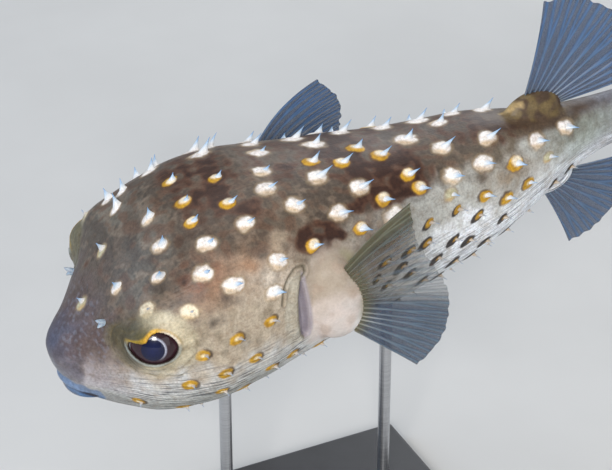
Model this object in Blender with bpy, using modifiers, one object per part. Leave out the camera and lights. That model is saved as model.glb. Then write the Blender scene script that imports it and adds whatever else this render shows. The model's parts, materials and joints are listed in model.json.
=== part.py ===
"""A life-size yellowspotted burrfish, held still on a plain display stand.

The fish is modelled in its own frame and then tipped nose down on an empty: x runs back from the
snout, z is up, and the fish's left side is at -y. Metres throughout.
"""
import math
import random

import bmesh
import bpy
import numpy as np
from mathutils import Matrix, Vector

MM = 0.001
GAP = 0.3 * MM

# Outline of the body in millimetres: distance back from the snout, top, bottom, half width.
STATIONS_MM = (
    (-2.6, -0.5, -0.5, 0.0),
    (-2.0, 4.2, -5.6, 4.6),
    (0.4, 7.6, -11.6, 9.2),
    (4.0, 10.6, -18.6, 13.2),
    (10.0, 14.6, -24.6, 18.4),
    (20.0, 23.4, -31.0, 28.2),
    (30.0, 32.8, -35.8, 36.8),
    (42.0, 41.5, -38.0, 43.0),
    (56.0, 48.0, -39.2, 46.5),
    (72.0, 50.5, -38.5, 46.5),
    (86.0, 50.0, -37.5, 44.0),
    (103.0, 46.0, -37.0, 40.5),
    (121.0, 41.0, -36.5, 37.0),
    (140.0, 36.0, -35.5, 34.0),
    (156.0, 31.5, -34.0, 31.0),
    (174.0, 28.0, -31.5, 28.0),
    (192.0, 25.0, -27.5, 24.5),
    (207.0, 21.0, -23.0, 19.5),
    (222.0, 16.8, -18.0, 14.0),
    (237.0, 14.5, -14.0, 9.0),
    (252.0, 13.2, -11.5, 6.2),
    (271.0, 12.4, -11.4, 4.0),
)
SECTION_POWER = 2.3          # a little boxier than an ellipse
WIDEST_SHARE = 0.52          # height of the widest level, as a share of the depth
SIDES = 36                   # points round the body
TAIL_BEND_START = 113 * MM   # behind this the tail turns gently to the fish's left and down
TAIL_BEND = 0.154            # sideways drift in metres for each square metre run back
TAIL_DROP = 0.106            # the same for its fall

# Where the flesh is parted.
HEAD_END = 83.0 * MM
TRUNK_END = 238.5 * MM
TAIL_END = 271.0 * MM

# Eyes, and the mounds of skin that they sit in. The head is turned a little to its right, so the
# right eye lies further back and higher. Angles are in degrees from the back's midline.
EYE_X = 31.0 * MM
EYE_ANGLE = 71.5
EYE_TURN_X = 3.5 * MM
EYE_TURN_ANGLE = 6.0
EYE_RADIUS = 12.0 * MM
EYE_DEPTH = 9.0 * MM         # centre of the ball below the skin
MOUND_BACK = 3.5 * MM        # the mound's top lies this far behind the eye
MOUND_ABOVE = 11.0           # and this many degrees above it
MOUND_HEIGHT = 5.2 * MM
MOUND_SPREAD = 13.0 * MM
LID_THICKNESS = 2.1 * MM
LID_OPENING = (10.6 * MM, 7.4 * MM)   # half length and half height

# Mouth: half width, how far the corners lie back, level, and the radius of a lip.
MOUTH_HALF = 12.0 * MM
MOUTH_BACK = 6.8 * MM
MOUTH_FRONT_X = 1.4 * MM
MOUTH_Z = -14.4 * MM
MOUTH_DROP = 3.6 * MM        # how far the corners hang below the middle
LIP_RADIUS = 2.9 * MM
LIP_SPREAD = 2.6 * MM        # from the mouth's line to a lip's middle
LIP_STEP = 1.2 * MM          # the lower lip sits this much further back

# Nasal tentacles: distance back, and degrees from the back's midline.
NOSTRIL_X = 18.0 * MM
NOSTRIL_ANGLE = 37.0

# Fleshy pads that carry the fins: centre and half sizes.
PECTORAL_PAD = ((104 * MM, 38 * MM, -1 * MM), (14 * MM, 8.5 * MM, 19 * MM))
DORSAL_PAD = ((219 * MM, 0.0, 18.0 * MM), (14 * MM, 5.2 * MM, 9.0 * MM))
ANAL_PAD = ((222 * MM, 0.0, -17.5 * MM), (12.5 * MM, 4.8 * MM, 7.0 * MM))
PECTORAL_PAD_FLARE = 16.0    # degrees that the pad's rear edge stands off the flank

# Gill slit, just ahead of the pad.
GILL_X = 87.5 * MM
GILL_HALF_HEIGHT = 11.5 * MM
GILL_WIDTH = 1.6 * MM
GILL_DEPTH = 4.0 * MM

# Rows of spines: angle from the back's midline in degrees, then places along it in millimetres.
BACK_ROWS = (                # these differ between the sides; a negative angle is to the right
    (4, (16, 50, 80, 140, 162)),
    (9, (64, 98, 119)),
    (-6, (31, 65, 103, 126, 180)),
    (22, (28, 48, 62, 78, 95, 117, 173)),
    (15, (130, 147)),
    (27, (193,)),
    (-20, (44, 83, 104, 121, 141, 159, 174, 189, 202)),
    (-30, (50, 63, 88)),
)
SIDE_ROWS = (                # these are on both sides
    (37, (42, 63, 80, 102, 131, 153)),
    (50, (35, 57, 118, 138, 155, 171, 186, 214, 230)),
    (64, (47, 66, 86, 102, 124, 140, 167, 200)),
    (78, (80, 154, 168, 182, 217)),
    (90, (47, 61, 76, 131, 143, 151, 177, 192, 204)),
    (97, (119, 126, 138, 164)),
    (105, (40, 54, 67, 130, 142, 155, 171, 189)),
    (121, (22, 52, 74, 84, 112, 124, 148, 164, 180, 219, 229)),
    (134, (38, 62, 98, 136, 157, 174, 192)),
    (152, (46, 74, 92, 109, 126, 146, 165, 184, 206)),
    (170, (37, 60, 84, 101, 118, 136, 156, 198)),
)
RIGHT_SIDE_SHIFT = 3.0 * MM  # the right side's spines sit a little further back than the left's
SPINE_HEIGHT = 6.4 * MM      # on the back; the belly's are shorter
BELLY_SPINE_HEIGHT = 4.2 * MM
SPINE_HALF_LENGTH = 3.1 * MM
SPINE_HALF_WIDTH = 1.7 * MM
SPINE_ROOT = 1.7 * MM
SEAM_CLEARANCE = 4.2 * MM    # from a spine's middle to where the flesh is parted
SPINE_SEED = 11

# Fins.
MEMBRANE = 0.56 * MM         # thickness between the rays
RAY_AT_ROOT = 1.5 * MM
RAY_AT_TIP = 0.75 * MM

# Pose and stand.
NOSE_DOWN = 10.8             # degrees
BASE_SIZE = (142 * MM, 84 * MM, 9 * MM)
BASE_CORNER = 1.5 * MM
ROD_RADIUS = 2.6 * MM
ROD_PLACES = (72 * MM, 148 * MM)     # along the fish
ROD_CLEAR = 88 * MM          # from the base's top to the belly's lowest part
BALANCE_X = 104 * MM         # the part of the fish that is over the base's middle

SKIN_BROWN = (0.30, 0.24, 0.19, 1)
SKIN_PALE = (0.62, 0.57, 0.46, 1)
FIN_GREY = (0.34, 0.40, 0.44, 1)
EYE_DARK = (0.05, 0.04, 0.10, 1)
STAND_DARK = (0.05, 0.05, 0.055, 1)
ROD_STEEL = (0.55, 0.56, 0.58, 1)


def clear_scene():
    for old in list(bpy.data.objects):
        bpy.data.objects.remove(old, do_unlink=True)


def material(name, colour, roughness, metallic=0.0):
    made = bpy.data.materials.new(name)
    made.use_nodes = True
    shader = made.node_tree.nodes["Principled BSDF"]
    shader.inputs["Base Color"].default_value = colour
    shader.inputs["Roughness"].default_value = roughness
    shader.inputs["Metallic"].default_value = metallic
    return made


def smooth_slopes(xs, ys):
    """Slopes for a curve through the points that never overshoots them."""
    h = np.diff(xs)
    d = np.diff(ys) / h
    m = np.zeros_like(ys)
    m[0], m[-1] = d[0], d[-1]
    for i in range(1, len(ys) - 1):
        if d[i - 1] * d[i] > 0:
            w1 = 2 * h[i] + h[i - 1]
            w2 = h[i] + 2 * h[i - 1]
            m[i] = (w1 + w2) / (w1 / d[i - 1] + w2 / d[i])
    return m


class Curve:
    """A smooth curve through points, read at any place."""

    def __init__(self, xs, ys):
        self.xs = np.asarray(xs, float)
        self.ys = np.asarray(ys, float)
        self.m = smooth_slopes(self.xs, self.ys)

    def __call__(self, x):
        x = np.clip(x, self.xs[0], self.xs[-1])
        i = np.clip(np.searchsorted(self.xs, x) - 1, 0, len(self.xs) - 2)
        h = self.xs[i + 1] - self.xs[i]
        t = (x - self.xs[i]) / h
        return (
            self.ys[i] * (1 + 2 * t) * (1 - t) ** 2
            + self.m[i] * h * t * (1 - t) ** 2
            + self.ys[i + 1] * t * t * (3 - 2 * t)
            + self.m[i + 1] * h * t * t * (t - 1)
        )


STATIONS = np.array(STATIONS_MM) * MM
RUN = np.concatenate([[0], np.cumsum(np.hypot(np.diff(STATIONS[:, 0]), np.diff(STATIONS[:, 1])))])
X_AT, TOP_AT, BOTTOM_AT, HALF_AT = (Curve(RUN, STATIONS[:, k]) for k in range(4))


def run_at(x):
    """The run along the body whose section lies at distance x back from the snout."""
    low, high = RUN[0], RUN[-1]
    for _ in range(50):
        middle = (low + high) / 2
        low, high = (middle, high) if X_AT(middle) < x else (low, middle)
    return (low + high) / 2


def tail_drift(x):
    """Sideways place of the body's middle line."""
    return -TAIL_BEND * max(0.0, x - TAIL_BEND_START) ** 2


def tail_fall(x):
    """How far the body's middle line has moved down."""
    return -TAIL_DROP * max(0.0, x - TAIL_BEND_START) ** 2


def section_point(run, angle):
    """A point of the plain outline; angle is in degrees from the back's midline, left positive."""
    top, bottom, half = TOP_AT(run), BOTTOM_AT(run), HALF_AT(run)
    middle = bottom + WIDEST_SHARE * (top - bottom)
    s, c = math.sin(math.radians(angle)), math.cos(math.radians(angle))
    across = math.copysign(abs(s) ** (2 / SECTION_POWER), s)
    upward = math.copysign(abs(c) ** (2 / SECTION_POWER), c)
    rise = (top - middle) if upward > 0 else (middle - bottom)
    x = float(X_AT(run))
    return Vector((x, tail_drift(x) - half * across, tail_fall(x) + middle + rise * upward))


def outline_normal(run, angle):
    run = min(max(run, RUN[0] + 0.2 * MM), RUN[-1] - 0.2 * MM)
    along = section_point(run + 0.1 * MM, angle) - section_point(run - 0.1 * MM, angle)
    around = section_point(run, angle + 1) - section_point(run, angle - 1)
    return around.cross(along).normalized()


def eye_place(side):
    """Distance back and angle of an eye; side is 1 on the left and -1 on the right."""
    if side > 0:
        return EYE_X, EYE_ANGLE
    return EYE_X + EYE_TURN_X, -(EYE_ANGLE - EYE_TURN_ANGLE)


def mound_centre(side):
    x, angle = eye_place(side)
    return section_point(run_at(x + MOUND_BACK), angle - MOUND_ABOVE * side)


def swelling(point):
    """How far the skin swells past the plain outline here, round the eyes."""
    return sum(
        MOUND_HEIGHT * math.exp(-((point - centre).length / MOUND_SPREAD) ** 2)
        for centre in MOUND_CENTRES
    )


MOUND_CENTRES = [mound_centre(side) for side in (1, -1)]


def skin_point(run, angle, grow=0.0):
    point = section_point(run, angle)
    return point + outline_normal(run, angle) * (swelling(point) + grow)


def mesh_object(name, mesh_or_bm, where, finish=None):
    """A linked object from a bmesh or a mesh, with its material."""
    if isinstance(mesh_or_bm, bmesh.types.BMesh):
        mesh = bpy.data.meshes.new(name)
        mesh_or_bm.to_mesh(mesh)
        mesh_or_bm.free()
    else:
        mesh = mesh_or_bm
    mesh.name = name
    made = bpy.data.objects.new(name, mesh)
    where.objects.link(made)
    if finish:
        mesh.materials.clear()
        mesh.materials.append(finish)
    return made


def loft(rings, tip_first=False):
    """A closed bmesh through rings of equal length, the first of which may be one point."""
    bm = bmesh.new()
    made = [[bm.verts.new(p) for p in ring] for ring in rings]
    count = len(made[-1])
    start = 0
    if tip_first:
        for j in range(count):
            bm.faces.new((made[0][0], made[1][j], made[1][(j + 1) % count]))
        start = 1
    else:
        bm.faces.new(made[0][::-1])
    for first, second in zip(made[start:], made[start + 1:]):
        for j in range(count):
            k = (j + 1) % count
            bm.faces.new((first[j], second[j], second[k], first[k]))
    bm.faces.new(made[-1])
    bmesh.ops.recalc_face_normals(bm, faces=bm.faces)
    return bm


def body_length(name, start, end, rings, where, grow=0.0):
    """One closed length of the body between two places along it."""
    first = RUN[0] if start is None else run_at(start)
    last = run_at(end)
    angles = [360 * j / SIDES for j in range(SIDES)]
    sections = []
    for i in range(rings + 1):
        share = i / rings
        run = first + (last - first) * (share ** 1.25 if start is None else share)
        if start is None and i == 0:
            sections.append([section_point(run, 0) - Vector((grow, 0, 0))])
        else:
            sections.append([skin_point(run, a, grow) for a in angles])
    return mesh_object(name, loft(sections, tip_first=start is None), where)


def ellipsoid(name, centre, halves, where, segments=20, rings=12, turn=None):
    bm = bmesh.new()
    bmesh.ops.create_uvsphere(bm, u_segments=segments, v_segments=rings, radius=1.0)
    frame = Matrix.Translation(centre) @ (turn or Matrix.Identity(4)) @ Matrix.Diagonal((*halves, 1))
    bmesh.ops.transform(bm, matrix=frame, verts=bm.verts)
    return mesh_object(name, bm, where)


def tube_along(name, points, radii, where, sides=8):
    """A closed tube along points, with a radius at each."""
    rings = []
    for i, p in enumerate(points):
        along = (points[min(i + 1, len(points) - 1)] - points[max(i - 1, 0)]).normalized()
        side = along.cross(Vector((0, 0, 1))).normalized()
        up = side.cross(along).normalized()
        turns = [2 * math.pi * k / sides for k in range(sides)]
        rings.append([p + (side * math.cos(t) + up * math.sin(t)) * radii[i] for t in turns])
    return mesh_object(name, loft(rings), where)


def apply_boolean(target, operation, operand=None, collection=None, solver="EXACT"):
    """Applies one Boolean to target and leaves its result as target's own mesh."""
    cut = target.modifiers.new("join", "BOOLEAN")
    cut.operation = operation
    cut.solver = solver
    if collection:
        cut.operand_type = "COLLECTION"
        cut.collection = collection
    else:
        cut.object = operand
    bpy.context.view_layer.update()
    evaluated = target.evaluated_get(bpy.context.evaluated_depsgraph_get())
    mesh = bpy.data.meshes.new_from_object(evaluated)
    target.modifiers.remove(cut)
    target.data = mesh


def keep_largest(target):
    """Drops every closed surface of the mesh but the largest."""
    bm = bmesh.new()
    bm.from_mesh(target.data)
    bmesh.ops.triangulate(bm, faces=bm.faces)
    bm.verts.ensure_lookup_table()
    seen, shells = set(), []
    for vert in bm.verts:
        if vert.index in seen:
            continue
        shell, edge = {vert.index}, [vert]
        while edge:
            for e in edge.pop().link_edges:
                for other in e.verts:
                    if other.index not in shell:
                        shell.add(other.index)
                        edge.append(other)
        seen |= shell
        shells.append(shell)
    keep = max(shells, key=len)
    bmesh.ops.delete(bm, geom=[v for v in bm.verts if v.index not in keep], context="VERTS")
    bm.to_mesh(target.data)
    bm.free()


def remove_collection(collection):
    for piece in list(collection.objects):
        bpy.data.objects.remove(piece, do_unlink=True)
    bpy.data.collections.remove(collection)


def scratch_collection(name):
    made = bpy.data.collections.new(name)
    bpy.context.scene.collection.children.link(made)
    return made


def add_spine(bm, run, angle, draw):
    """One thorn of four sides, leaning back, its root sunk in the skin."""
    x = float(X_AT(run))
    foot = skin_point(run, angle)
    normal = outline_normal(run, angle)
    back = Vector((1, 0, 0)) - normal * normal.x
    back.normalize()
    side = normal.cross(back)
    belly = min(max((abs(angle) - 75) / 40, 0), 1)
    height = (SPINE_HEIGHT + (BELLY_SPINE_HEIGHT - SPINE_HEIGHT) * belly) * draw.uniform(0.88, 1.12)
    lean = -0.1 + 0.85 * min(max((x - 20 * MM) / (150 * MM), 0), 1)
    half_length, half_width = SPINE_HALF_LENGTH * height / SPINE_HEIGHT, SPINE_HALF_WIDTH
    rings = []
    for level, share in ((-SPINE_ROOT, 1.0), (0.40 * height, 0.44)):
        middle = foot + normal * level + back * (lean * max(level, 0))
        rings.append([
            bm.verts.new(middle + back * (half_length * share)),
            bm.verts.new(middle + side * (half_width * share)),
            bm.verts.new(middle - back * (half_length * share)),
            bm.verts.new(middle - side * (half_width * share)),
        ])
    tip = bm.verts.new(foot + normal * height + back * (lean * height * 1.15))
    bm.faces.new(rings[0][::-1])
    for j in range(4):
        k = (j + 1) % 4
        bm.faces.new((rings[0][j], rings[0][k], rings[1][k], rings[1][j]))
        bm.faces.new((rings[1][j], rings[1][k], tip))


def spine_places():
    """Angle and distance back of every thorn."""
    places = [(angle, x * MM) for angle, row in BACK_ROWS for x in row]
    for angle, row in SIDE_ROWS:
        for x in row:
            places.append((angle, x * MM))
            places.append((-angle, x * MM + RIGHT_SIDE_SHIFT))
    return places


def spines_between(name, start, end, where):
    """All the thorns that grow from one length of the body."""
    draw = random.Random(SPINE_SEED)
    bm = bmesh.new()
    for angle, x in spine_places():
        for seam in (HEAD_END, TRUNK_END):
            if abs(x - seam) < SEAM_CLEARANCE:
                x = seam + math.copysign(SEAM_CLEARANCE, x - seam)
        if (start is None or x > start) and x < end:
            add_spine(bm, run_at(x), angle, draw)
    bmesh.ops.recalc_face_normals(bm, faces=bm.faces)
    return mesh_object(name, bm, where)


def eye_frame(side):
    """Centre of an eyeball, and a frame with x along the lid's opening and z out of the head."""
    x, angle = eye_place(side)
    run = run_at(x)
    surface = skin_point(run, angle)
    out = outline_normal(run, angle)
    out = (out + Vector((0.10, -0.16 * side, 0.02))).normalized()
    along = (Vector((1, 0, 0.05)) - out * out.dot(Vector((1, 0, 0.05)))).normalized()
    up = out.cross(along)
    frame = Matrix((along, up, out)).transposed().to_4x4()
    return surface - out * EYE_DEPTH, frame


def cutter_tube(name, centre, frame, halves, depth, where):
    """An elliptical plug along the frame's z, used to open the lids."""
    bm = bmesh.new()
    bmesh.ops.create_cone(bm, cap_ends=True, segments=28, radius1=1, radius2=1, depth=1)
    place = Matrix.Translation(centre) @ frame @ Matrix.Translation((0, 0, depth / 2))
    bmesh.ops.transform(bm, matrix=place @ Matrix.Diagonal((*halves, depth, 1)), verts=bm.verts)
    return mesh_object(name, bm, where)


def lip(name, sign, where):
    """The upper (+1) or lower (-1) lip, a roll that tapers to the mouth's corners."""
    points, radii = [], []
    steps = 12
    for i in range(steps + 1):
        t = 2 * i / steps - 1
        x = MOUTH_FRONT_X + MOUTH_BACK * t * t + (LIP_STEP if sign < 0 else 0)
        z = MOUTH_Z - MOUTH_DROP * t * t + sign * LIP_SPREAD * (1 - 0.55 * t * t)
        points.append(Vector((x, MOUTH_HALF * t, z)))
        radii.append(LIP_RADIUS * (1 - 0.8 * abs(t) ** 3))
    return tube_along(name, points, radii, where)


def nostril(name, side, where):
    """The short tentacle that carries the nostrils, above and before each eye."""
    run = run_at(NOSTRIL_X)
    foot, out = skin_point(run, NOSTRIL_ANGLE * side), outline_normal(run, NOSTRIL_ANGLE * side)
    out = (out + Vector((-0.5, 0, 0))).normalized()
    points = [foot - out * 1.6 * MM, foot + out * 1.4 * MM, foot + out * 3.2 * MM]
    return tube_along(name, points, [2.0 * MM, 1.5 * MM, 0.9 * MM], where, sides=7)


def make_head(where, finish):
    """Head with its brows, lips, lids, nostrils and thorns, in one closed body."""
    head = body_length("head", None, HEAD_END, 20, where)
    joined = scratch_collection("head_pieces")
    for sign, name in ((1, "upper_lip"), (-1, "lower_lip")):
        lip(name, sign, joined)
    for side in (1, -1):
        centre, frame = eye_frame(side)
        dome = EYE_RADIUS + GAP + LID_THICKNESS
        ellipsoid("lid", centre, (dome, dome, dome), joined, 24, 14, frame)
        nostril("nostril", side, joined)
    spines_between("head_spines", None, HEAD_END, joined)
    apply_boolean(head, "UNION", collection=joined)
    remove_collection(joined)
    cutters = scratch_collection("eye_cutters")
    for side in (1, -1):
        centre, frame = eye_frame(side)
        hollow = EYE_RADIUS + GAP
        ball = ellipsoid("socket", centre, (hollow, hollow, hollow), cutters, 24, 14, frame)
        apply_boolean(head, "DIFFERENCE", ball)
        plug = cutter_tube("lid_opening", centre, frame, LID_OPENING, 2 * EYE_RADIUS, cutters)
        apply_boolean(head, "DIFFERENCE", plug)
    remove_collection(cutters)
    keep_largest(head)
    head.data.materials.clear()
    head.data.materials.append(finish)
    return head


def pad_pieces(where, grow=0.0):
    """The fleshy pads at the roots of the fins."""
    made = []
    for side in (1, -1):
        (x, y, z), halves = PECTORAL_PAD
        turn = Matrix.Rotation(math.radians(PECTORAL_PAD_FLARE * -side), 4, "Z")
        made.append(ellipsoid("pectoral_pad", (x, -y * side, z), [h + grow for h in halves], where, 20, 12, turn))
    for (x, y, z), halves in (DORSAL_PAD, ANAL_PAD):
        centre = (x, tail_drift(x), z + tail_fall(x))
        made.append(ellipsoid("fin_pad", centre, [h + grow for h in halves], where, 18, 10))
    return made


def gill_cutter(side, where):
    """A thin upright wedge that opens the gill slit."""
    bm = bmesh.new()
    bmesh.ops.create_cube(bm, size=1)
    run = run_at(GILL_X)
    surface = skin_point(run, 88 * side)
    halves = Matrix.Diagonal((GILL_WIDTH, 2 * GILL_DEPTH, 2 * GILL_HALF_HEIGHT, 1))
    turn = Matrix.Rotation(math.radians(-32 * side), 4, "Z")
    bmesh.ops.transform(bm, matrix=Matrix.Translation(surface) @ turn @ halves, verts=bm.verts)
    return mesh_object("gill_cutter", bm, where)


def make_trunk(where, finish):
    """Trunk with the pads of the fins, the gill slits and its thorns."""
    trunk = body_length("trunk", HEAD_END + GAP, TRUNK_END, 19, where)
    joined = scratch_collection("trunk_pieces")
    pad_pieces(joined)
    spines_between("trunk_spines", HEAD_END + GAP, TRUNK_END, joined)
    apply_boolean(trunk, "UNION", collection=joined)
    remove_collection(joined)
    cutters = scratch_collection("gill_cutters")
    for side in (1, -1):
        apply_boolean(trunk, "DIFFERENCE", gill_cutter(side, cutters))
    remove_collection(cutters)
    keep_largest(trunk)
    trunk.data.materials.clear()
    trunk.data.materials.append(finish)
    return trunk


def make_tail_stem(where, finish):
    """The narrow stem that carries the tail fin."""
    stem = body_length("tail_stem", TRUNK_END + GAP, TAIL_END, 5, where)
    stem.data.materials.append(finish)
    return stem


def blend(values, t):
    """A smooth value along evenly spaced control values, t from 0 to 1."""
    if isinstance(values[0], (int, float)):
        return float(Curve(np.linspace(0, 1, len(values)), values)(t))
    return Vector([blend([v[k] for v in values], t) for k in range(3)])


def fin_surface(fin, t, r):
    """A point of a fin's middle surface: t across the rays, r from root to margin."""
    root = blend(fin["root"], t)
    direction = blend(fin["directions"], t).normalized()
    length = blend(fin["lengths"], t)
    bow = blend(fin["bow"], t) if "bow" in fin else Vector((0, 0, 0))
    return root + direction * (length * r) + bow * (length * (r * r - r))


def make_fin(name, fin, where, finish):
    """A membrane with its rays raised on both faces, as one closed sheet of matching triangles."""
    rays, rows = fin["rays"], fin["rows"]
    columns = 2 * rays - 1
    grid = []
    for i in range(columns):
        t = i / (columns - 1)
        on_ray = i % 2 == 0
        reach = 1.0 if on_ray else 0.985
        column = []
        for k in range(rows + 1):
            r = reach * k / rows
            step = 0.01
            across = fin_surface(fin, min(t + step, 1), r) - fin_surface(fin, max(t - step, 0), r)
            along = fin_surface(fin, t, r + step) - fin_surface(fin, t, r - step)
            normal = across.cross(along).normalized()
            thick = RAY_AT_ROOT + (RAY_AT_TIP - RAY_AT_ROOT) * k / rows if on_ray else MEMBRANE
            middle = fin_surface(fin, t, r)
            column.append((middle + normal * thick / 2, middle - normal * thick / 2))
        grid.append(column)
    bm = bmesh.new()
    verts = [[[bm.verts.new(p) for p in pair] for pair in column] for column in grid]
    for i in range(columns - 1):
        for k in range(rows):
            for face in (0, 1):
                a, b = verts[i][k][face], verts[i + 1][k][face]
                c, d = verts[i + 1][k + 1][face], verts[i][k + 1][face]
                for three in ((a, b, c), (a, c, d)):
                    bm.faces.new(three if face == 0 else three[::-1])
    rim = [(i, 0) for i in range(columns)] + [(columns - 1, k) for k in range(1, rows + 1)]
    rim += [(i, rows) for i in range(columns - 2, -1, -1)] + [(0, k) for k in range(rows - 1, 0, -1)]
    for (i, k), (m, n) in zip(rim, rim[1:] + rim[:1]):
        front, back = verts[i][k][0], verts[i][k][1]
        next_front, next_back = verts[m][n][0], verts[m][n][1]
        bm.faces.new((front, back, next_back))
        bm.faces.new((front, next_back, next_front))
    bmesh.ops.recalc_face_normals(bm, faces=bm.faces)
    return mesh_object(name, bm, where, finish)


def side_vectors(points, side):
    """Points written for the left fin, mirrored for the right one."""
    return [Vector((p[0], -p[1] * side, p[2])) for p in points]


def pectoral(side):
    """Pectoral fin: three root points from the top down, the rays' directions and their lengths."""
    root = [Vector(p) * MM for p in ((109, 44, 15.5), (113.5, 45.5, -0.5), (108.5, 43, -16.5))]
    if side > 0:
        directions = (
            (0.39, 0.55, 0.74), (0.36, 0.65, 0.64), (0.52, 0.74, 0.40), (0.72, 0.68, 0.08),
            (0.74, 0.60, -0.24), (0.62, 0.48, -0.62),
        )
        bow = ((0.02, 0.16, 0.05), (0.0, 0.10, 0.0), (0.0, 0.10, 0.0), (0.0, 0.08, 0.0))
        lengths = [v * MM for v in (52, 46, 41, 36, 34, 29)]
    else:
        directions = (
            (0.89, 0.25, 0.38), (0.93, 0.22, 0.22), (0.94, 0.30, 0.05), (0.90, 0.38, -0.12),
            (0.82, 0.42, -0.36), (0.68, 0.42, -0.60),
        )
        bow = ((0.12, -0.20, -0.24), (0.06, -0.16, -0.10), (0.0, -0.14, 0.0), (0.0, -0.08, 0.0))
        lengths = [v * MM for v in (47, 50, 48, 44, 40, 34)]
    return {
        "root": side_vectors(root, side),
        "directions": side_vectors(directions, side),
        "bow": side_vectors(bow, side),
        "lengths": lengths,
        "rays": 19,
        "rows": 5,
    }


def median_fin(start, end, directions, lengths, rays, bow):
    """A fin on the midline, from its first ray's root to its last one's."""
    return {
        "root": [start, (start + end) / 2, end],
        "directions": directions,
        "lengths": lengths,
        "bow": bow,
        "rays": rays,
        "rows": 5,
    }


def midline(x, z):
    """A place on the fish's middle plane, in millimetres before the tail's bend."""
    return Vector((x * MM, tail_drift(x * MM), z * MM + tail_fall(x * MM)))


def grown_flesh(where):
    """A copy of the flesh swollen by the gap, which shapes the roots of fins and the tops of rods."""
    solid = body_length("grown", None, TAIL_END, 52, where, GAP)
    pieces = scratch_collection("grown_pads")
    pad_pieces(pieces, GAP)
    apply_boolean(solid, "UNION", collection=pieces)
    remove_collection(pieces)
    return solid


def make_fins(where, finish, flesh):
    """Every fin, each with its root shaped to the flesh it grows from."""
    dorsal_start, dorsal_end = midline(215, 22.5), midline(230, 17.5)
    anal_start, anal_end = midline(218, -20.5), midline(233, -17)
    tail_top, tail_low = midline(266, 11), midline(266, -10)
    fins = {
        "pectoral_fin_left": pectoral(1),
        "pectoral_fin_right": pectoral(-1),
        "dorsal_fin": median_fin(
            dorsal_start, dorsal_end,
            [Vector(v) for v in ((0.36, 0.02, 0.93), (0.68, -0.06, 0.72), (0.90, -0.16, 0.38), (0.97, -0.26, 0.10))],
            [v * MM for v in (46, 50, 50, 46, 38)], 12,
            [Vector((-0.10, 0.0, 0.06)), Vector((0.0, 0.04, 0.0)), Vector((0.0, 0.06, 0.0))],
        ),
        "anal_fin": median_fin(
            anal_start, anal_end,
            [Vector(v) for v in ((0.30, 0.06, -0.95), (0.62, 0.08, -0.78), (0.86, 0.08, -0.50), (0.97, 0.06, -0.22))],
            [v * MM for v in (38, 42, 42, 38, 32)], 11,
            [Vector((-0.08, 0.0, -0.05)), Vector((0.0, 0.05, 0.0)), Vector((0.0, 0.05, 0.0))],
        ),
        "caudal_fin": median_fin(
            tail_top, tail_low,
            [Vector(v) for v in ((0.93, -0.14, 0.36), (0.99, -0.14, 0.0), (0.93, -0.14, -0.36))],
            [v * MM for v in (49, 54, 56, 54, 49)], 9,
            [Vector((0.0, 0.10, 0.10)), Vector((0.0, 0.10, 0.0)), Vector((0.0, 0.10, -0.10))],
        ),
    }
    made = []
    for name, fin in fins.items():
        piece = make_fin(name, fin, where, finish)
        apply_boolean(piece, "DIFFERENCE", flesh)
        keep_largest(piece)
        piece.data.materials.clear()
        piece.data.materials.append(finish)
        made.append(piece)
    return made


def make_eyes(where, finish):
    made = []
    for side, name in ((1, "eye_left"), (-1, "eye_right")):
        centre, frame = eye_frame(side)
        ball = ellipsoid(name, centre, (EYE_RADIUS,) * 3, where, 20, 12, frame)
        ball.data.materials.append(finish)
        made.append(ball)
    return made


def make_stand(where, pose, base_finish, rod_finish, flesh):
    """A flat base with two upright rods whose tops are shaped to the belly."""
    length, width, thick = BASE_SIZE
    bm = bmesh.new()
    bmesh.ops.create_cube(bm, size=1)
    bmesh.ops.transform(bm, matrix=Matrix.Diagonal((length, width, thick, 1)), verts=bm.verts)
    base = mesh_object("stand_base", bm, where, base_finish)
    base.location = (0, 0, thick / 2)
    rounded = base.modifiers.new("edges", "BEVEL")
    rounded.width = BASE_CORNER
    rounded.segments = 2
    flesh.matrix_world = pose
    for name, along in (("stand_rod_front", ROD_PLACES[0]), ("stand_rod_rear", ROD_PLACES[1])):
        inside = pose @ Vector((along, tail_drift(along), tail_fall(along) - 8 * MM))
        bottom = thick + GAP
        bm = bmesh.new()
        bmesh.ops.create_cone(bm, cap_ends=True, segments=20, radius1=ROD_RADIUS, radius2=ROD_RADIUS,
                              depth=inside.z - bottom)
        place = Matrix.Translation((inside.x, inside.y, (inside.z + bottom) / 2))
        bmesh.ops.transform(bm, matrix=place, verts=bm.verts)
        rod = mesh_object(name, bm, where)
        apply_boolean(rod, "DIFFERENCE", flesh)
        keep_largest(rod)
        rod.data.materials.clear()
        rod.data.materials.append(rod_finish)


def fish_pose():
    """The fish's frame in the stand's: nose down, its belly ROD_CLEAR above the base."""
    tip = Matrix.Rotation(math.radians(-NOSE_DOWN), 4, "Y")
    lowest = min(
        (tip @ section_point(run_at(x * MM), 180)).z for x in range(10, 260, 5)
    )
    under = tip @ Vector((BALANCE_X, 0, 0))
    return Matrix.Translation((-under.x, 0, BASE_SIZE[2] + ROD_CLEAR - lowest)) @ tip


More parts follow.
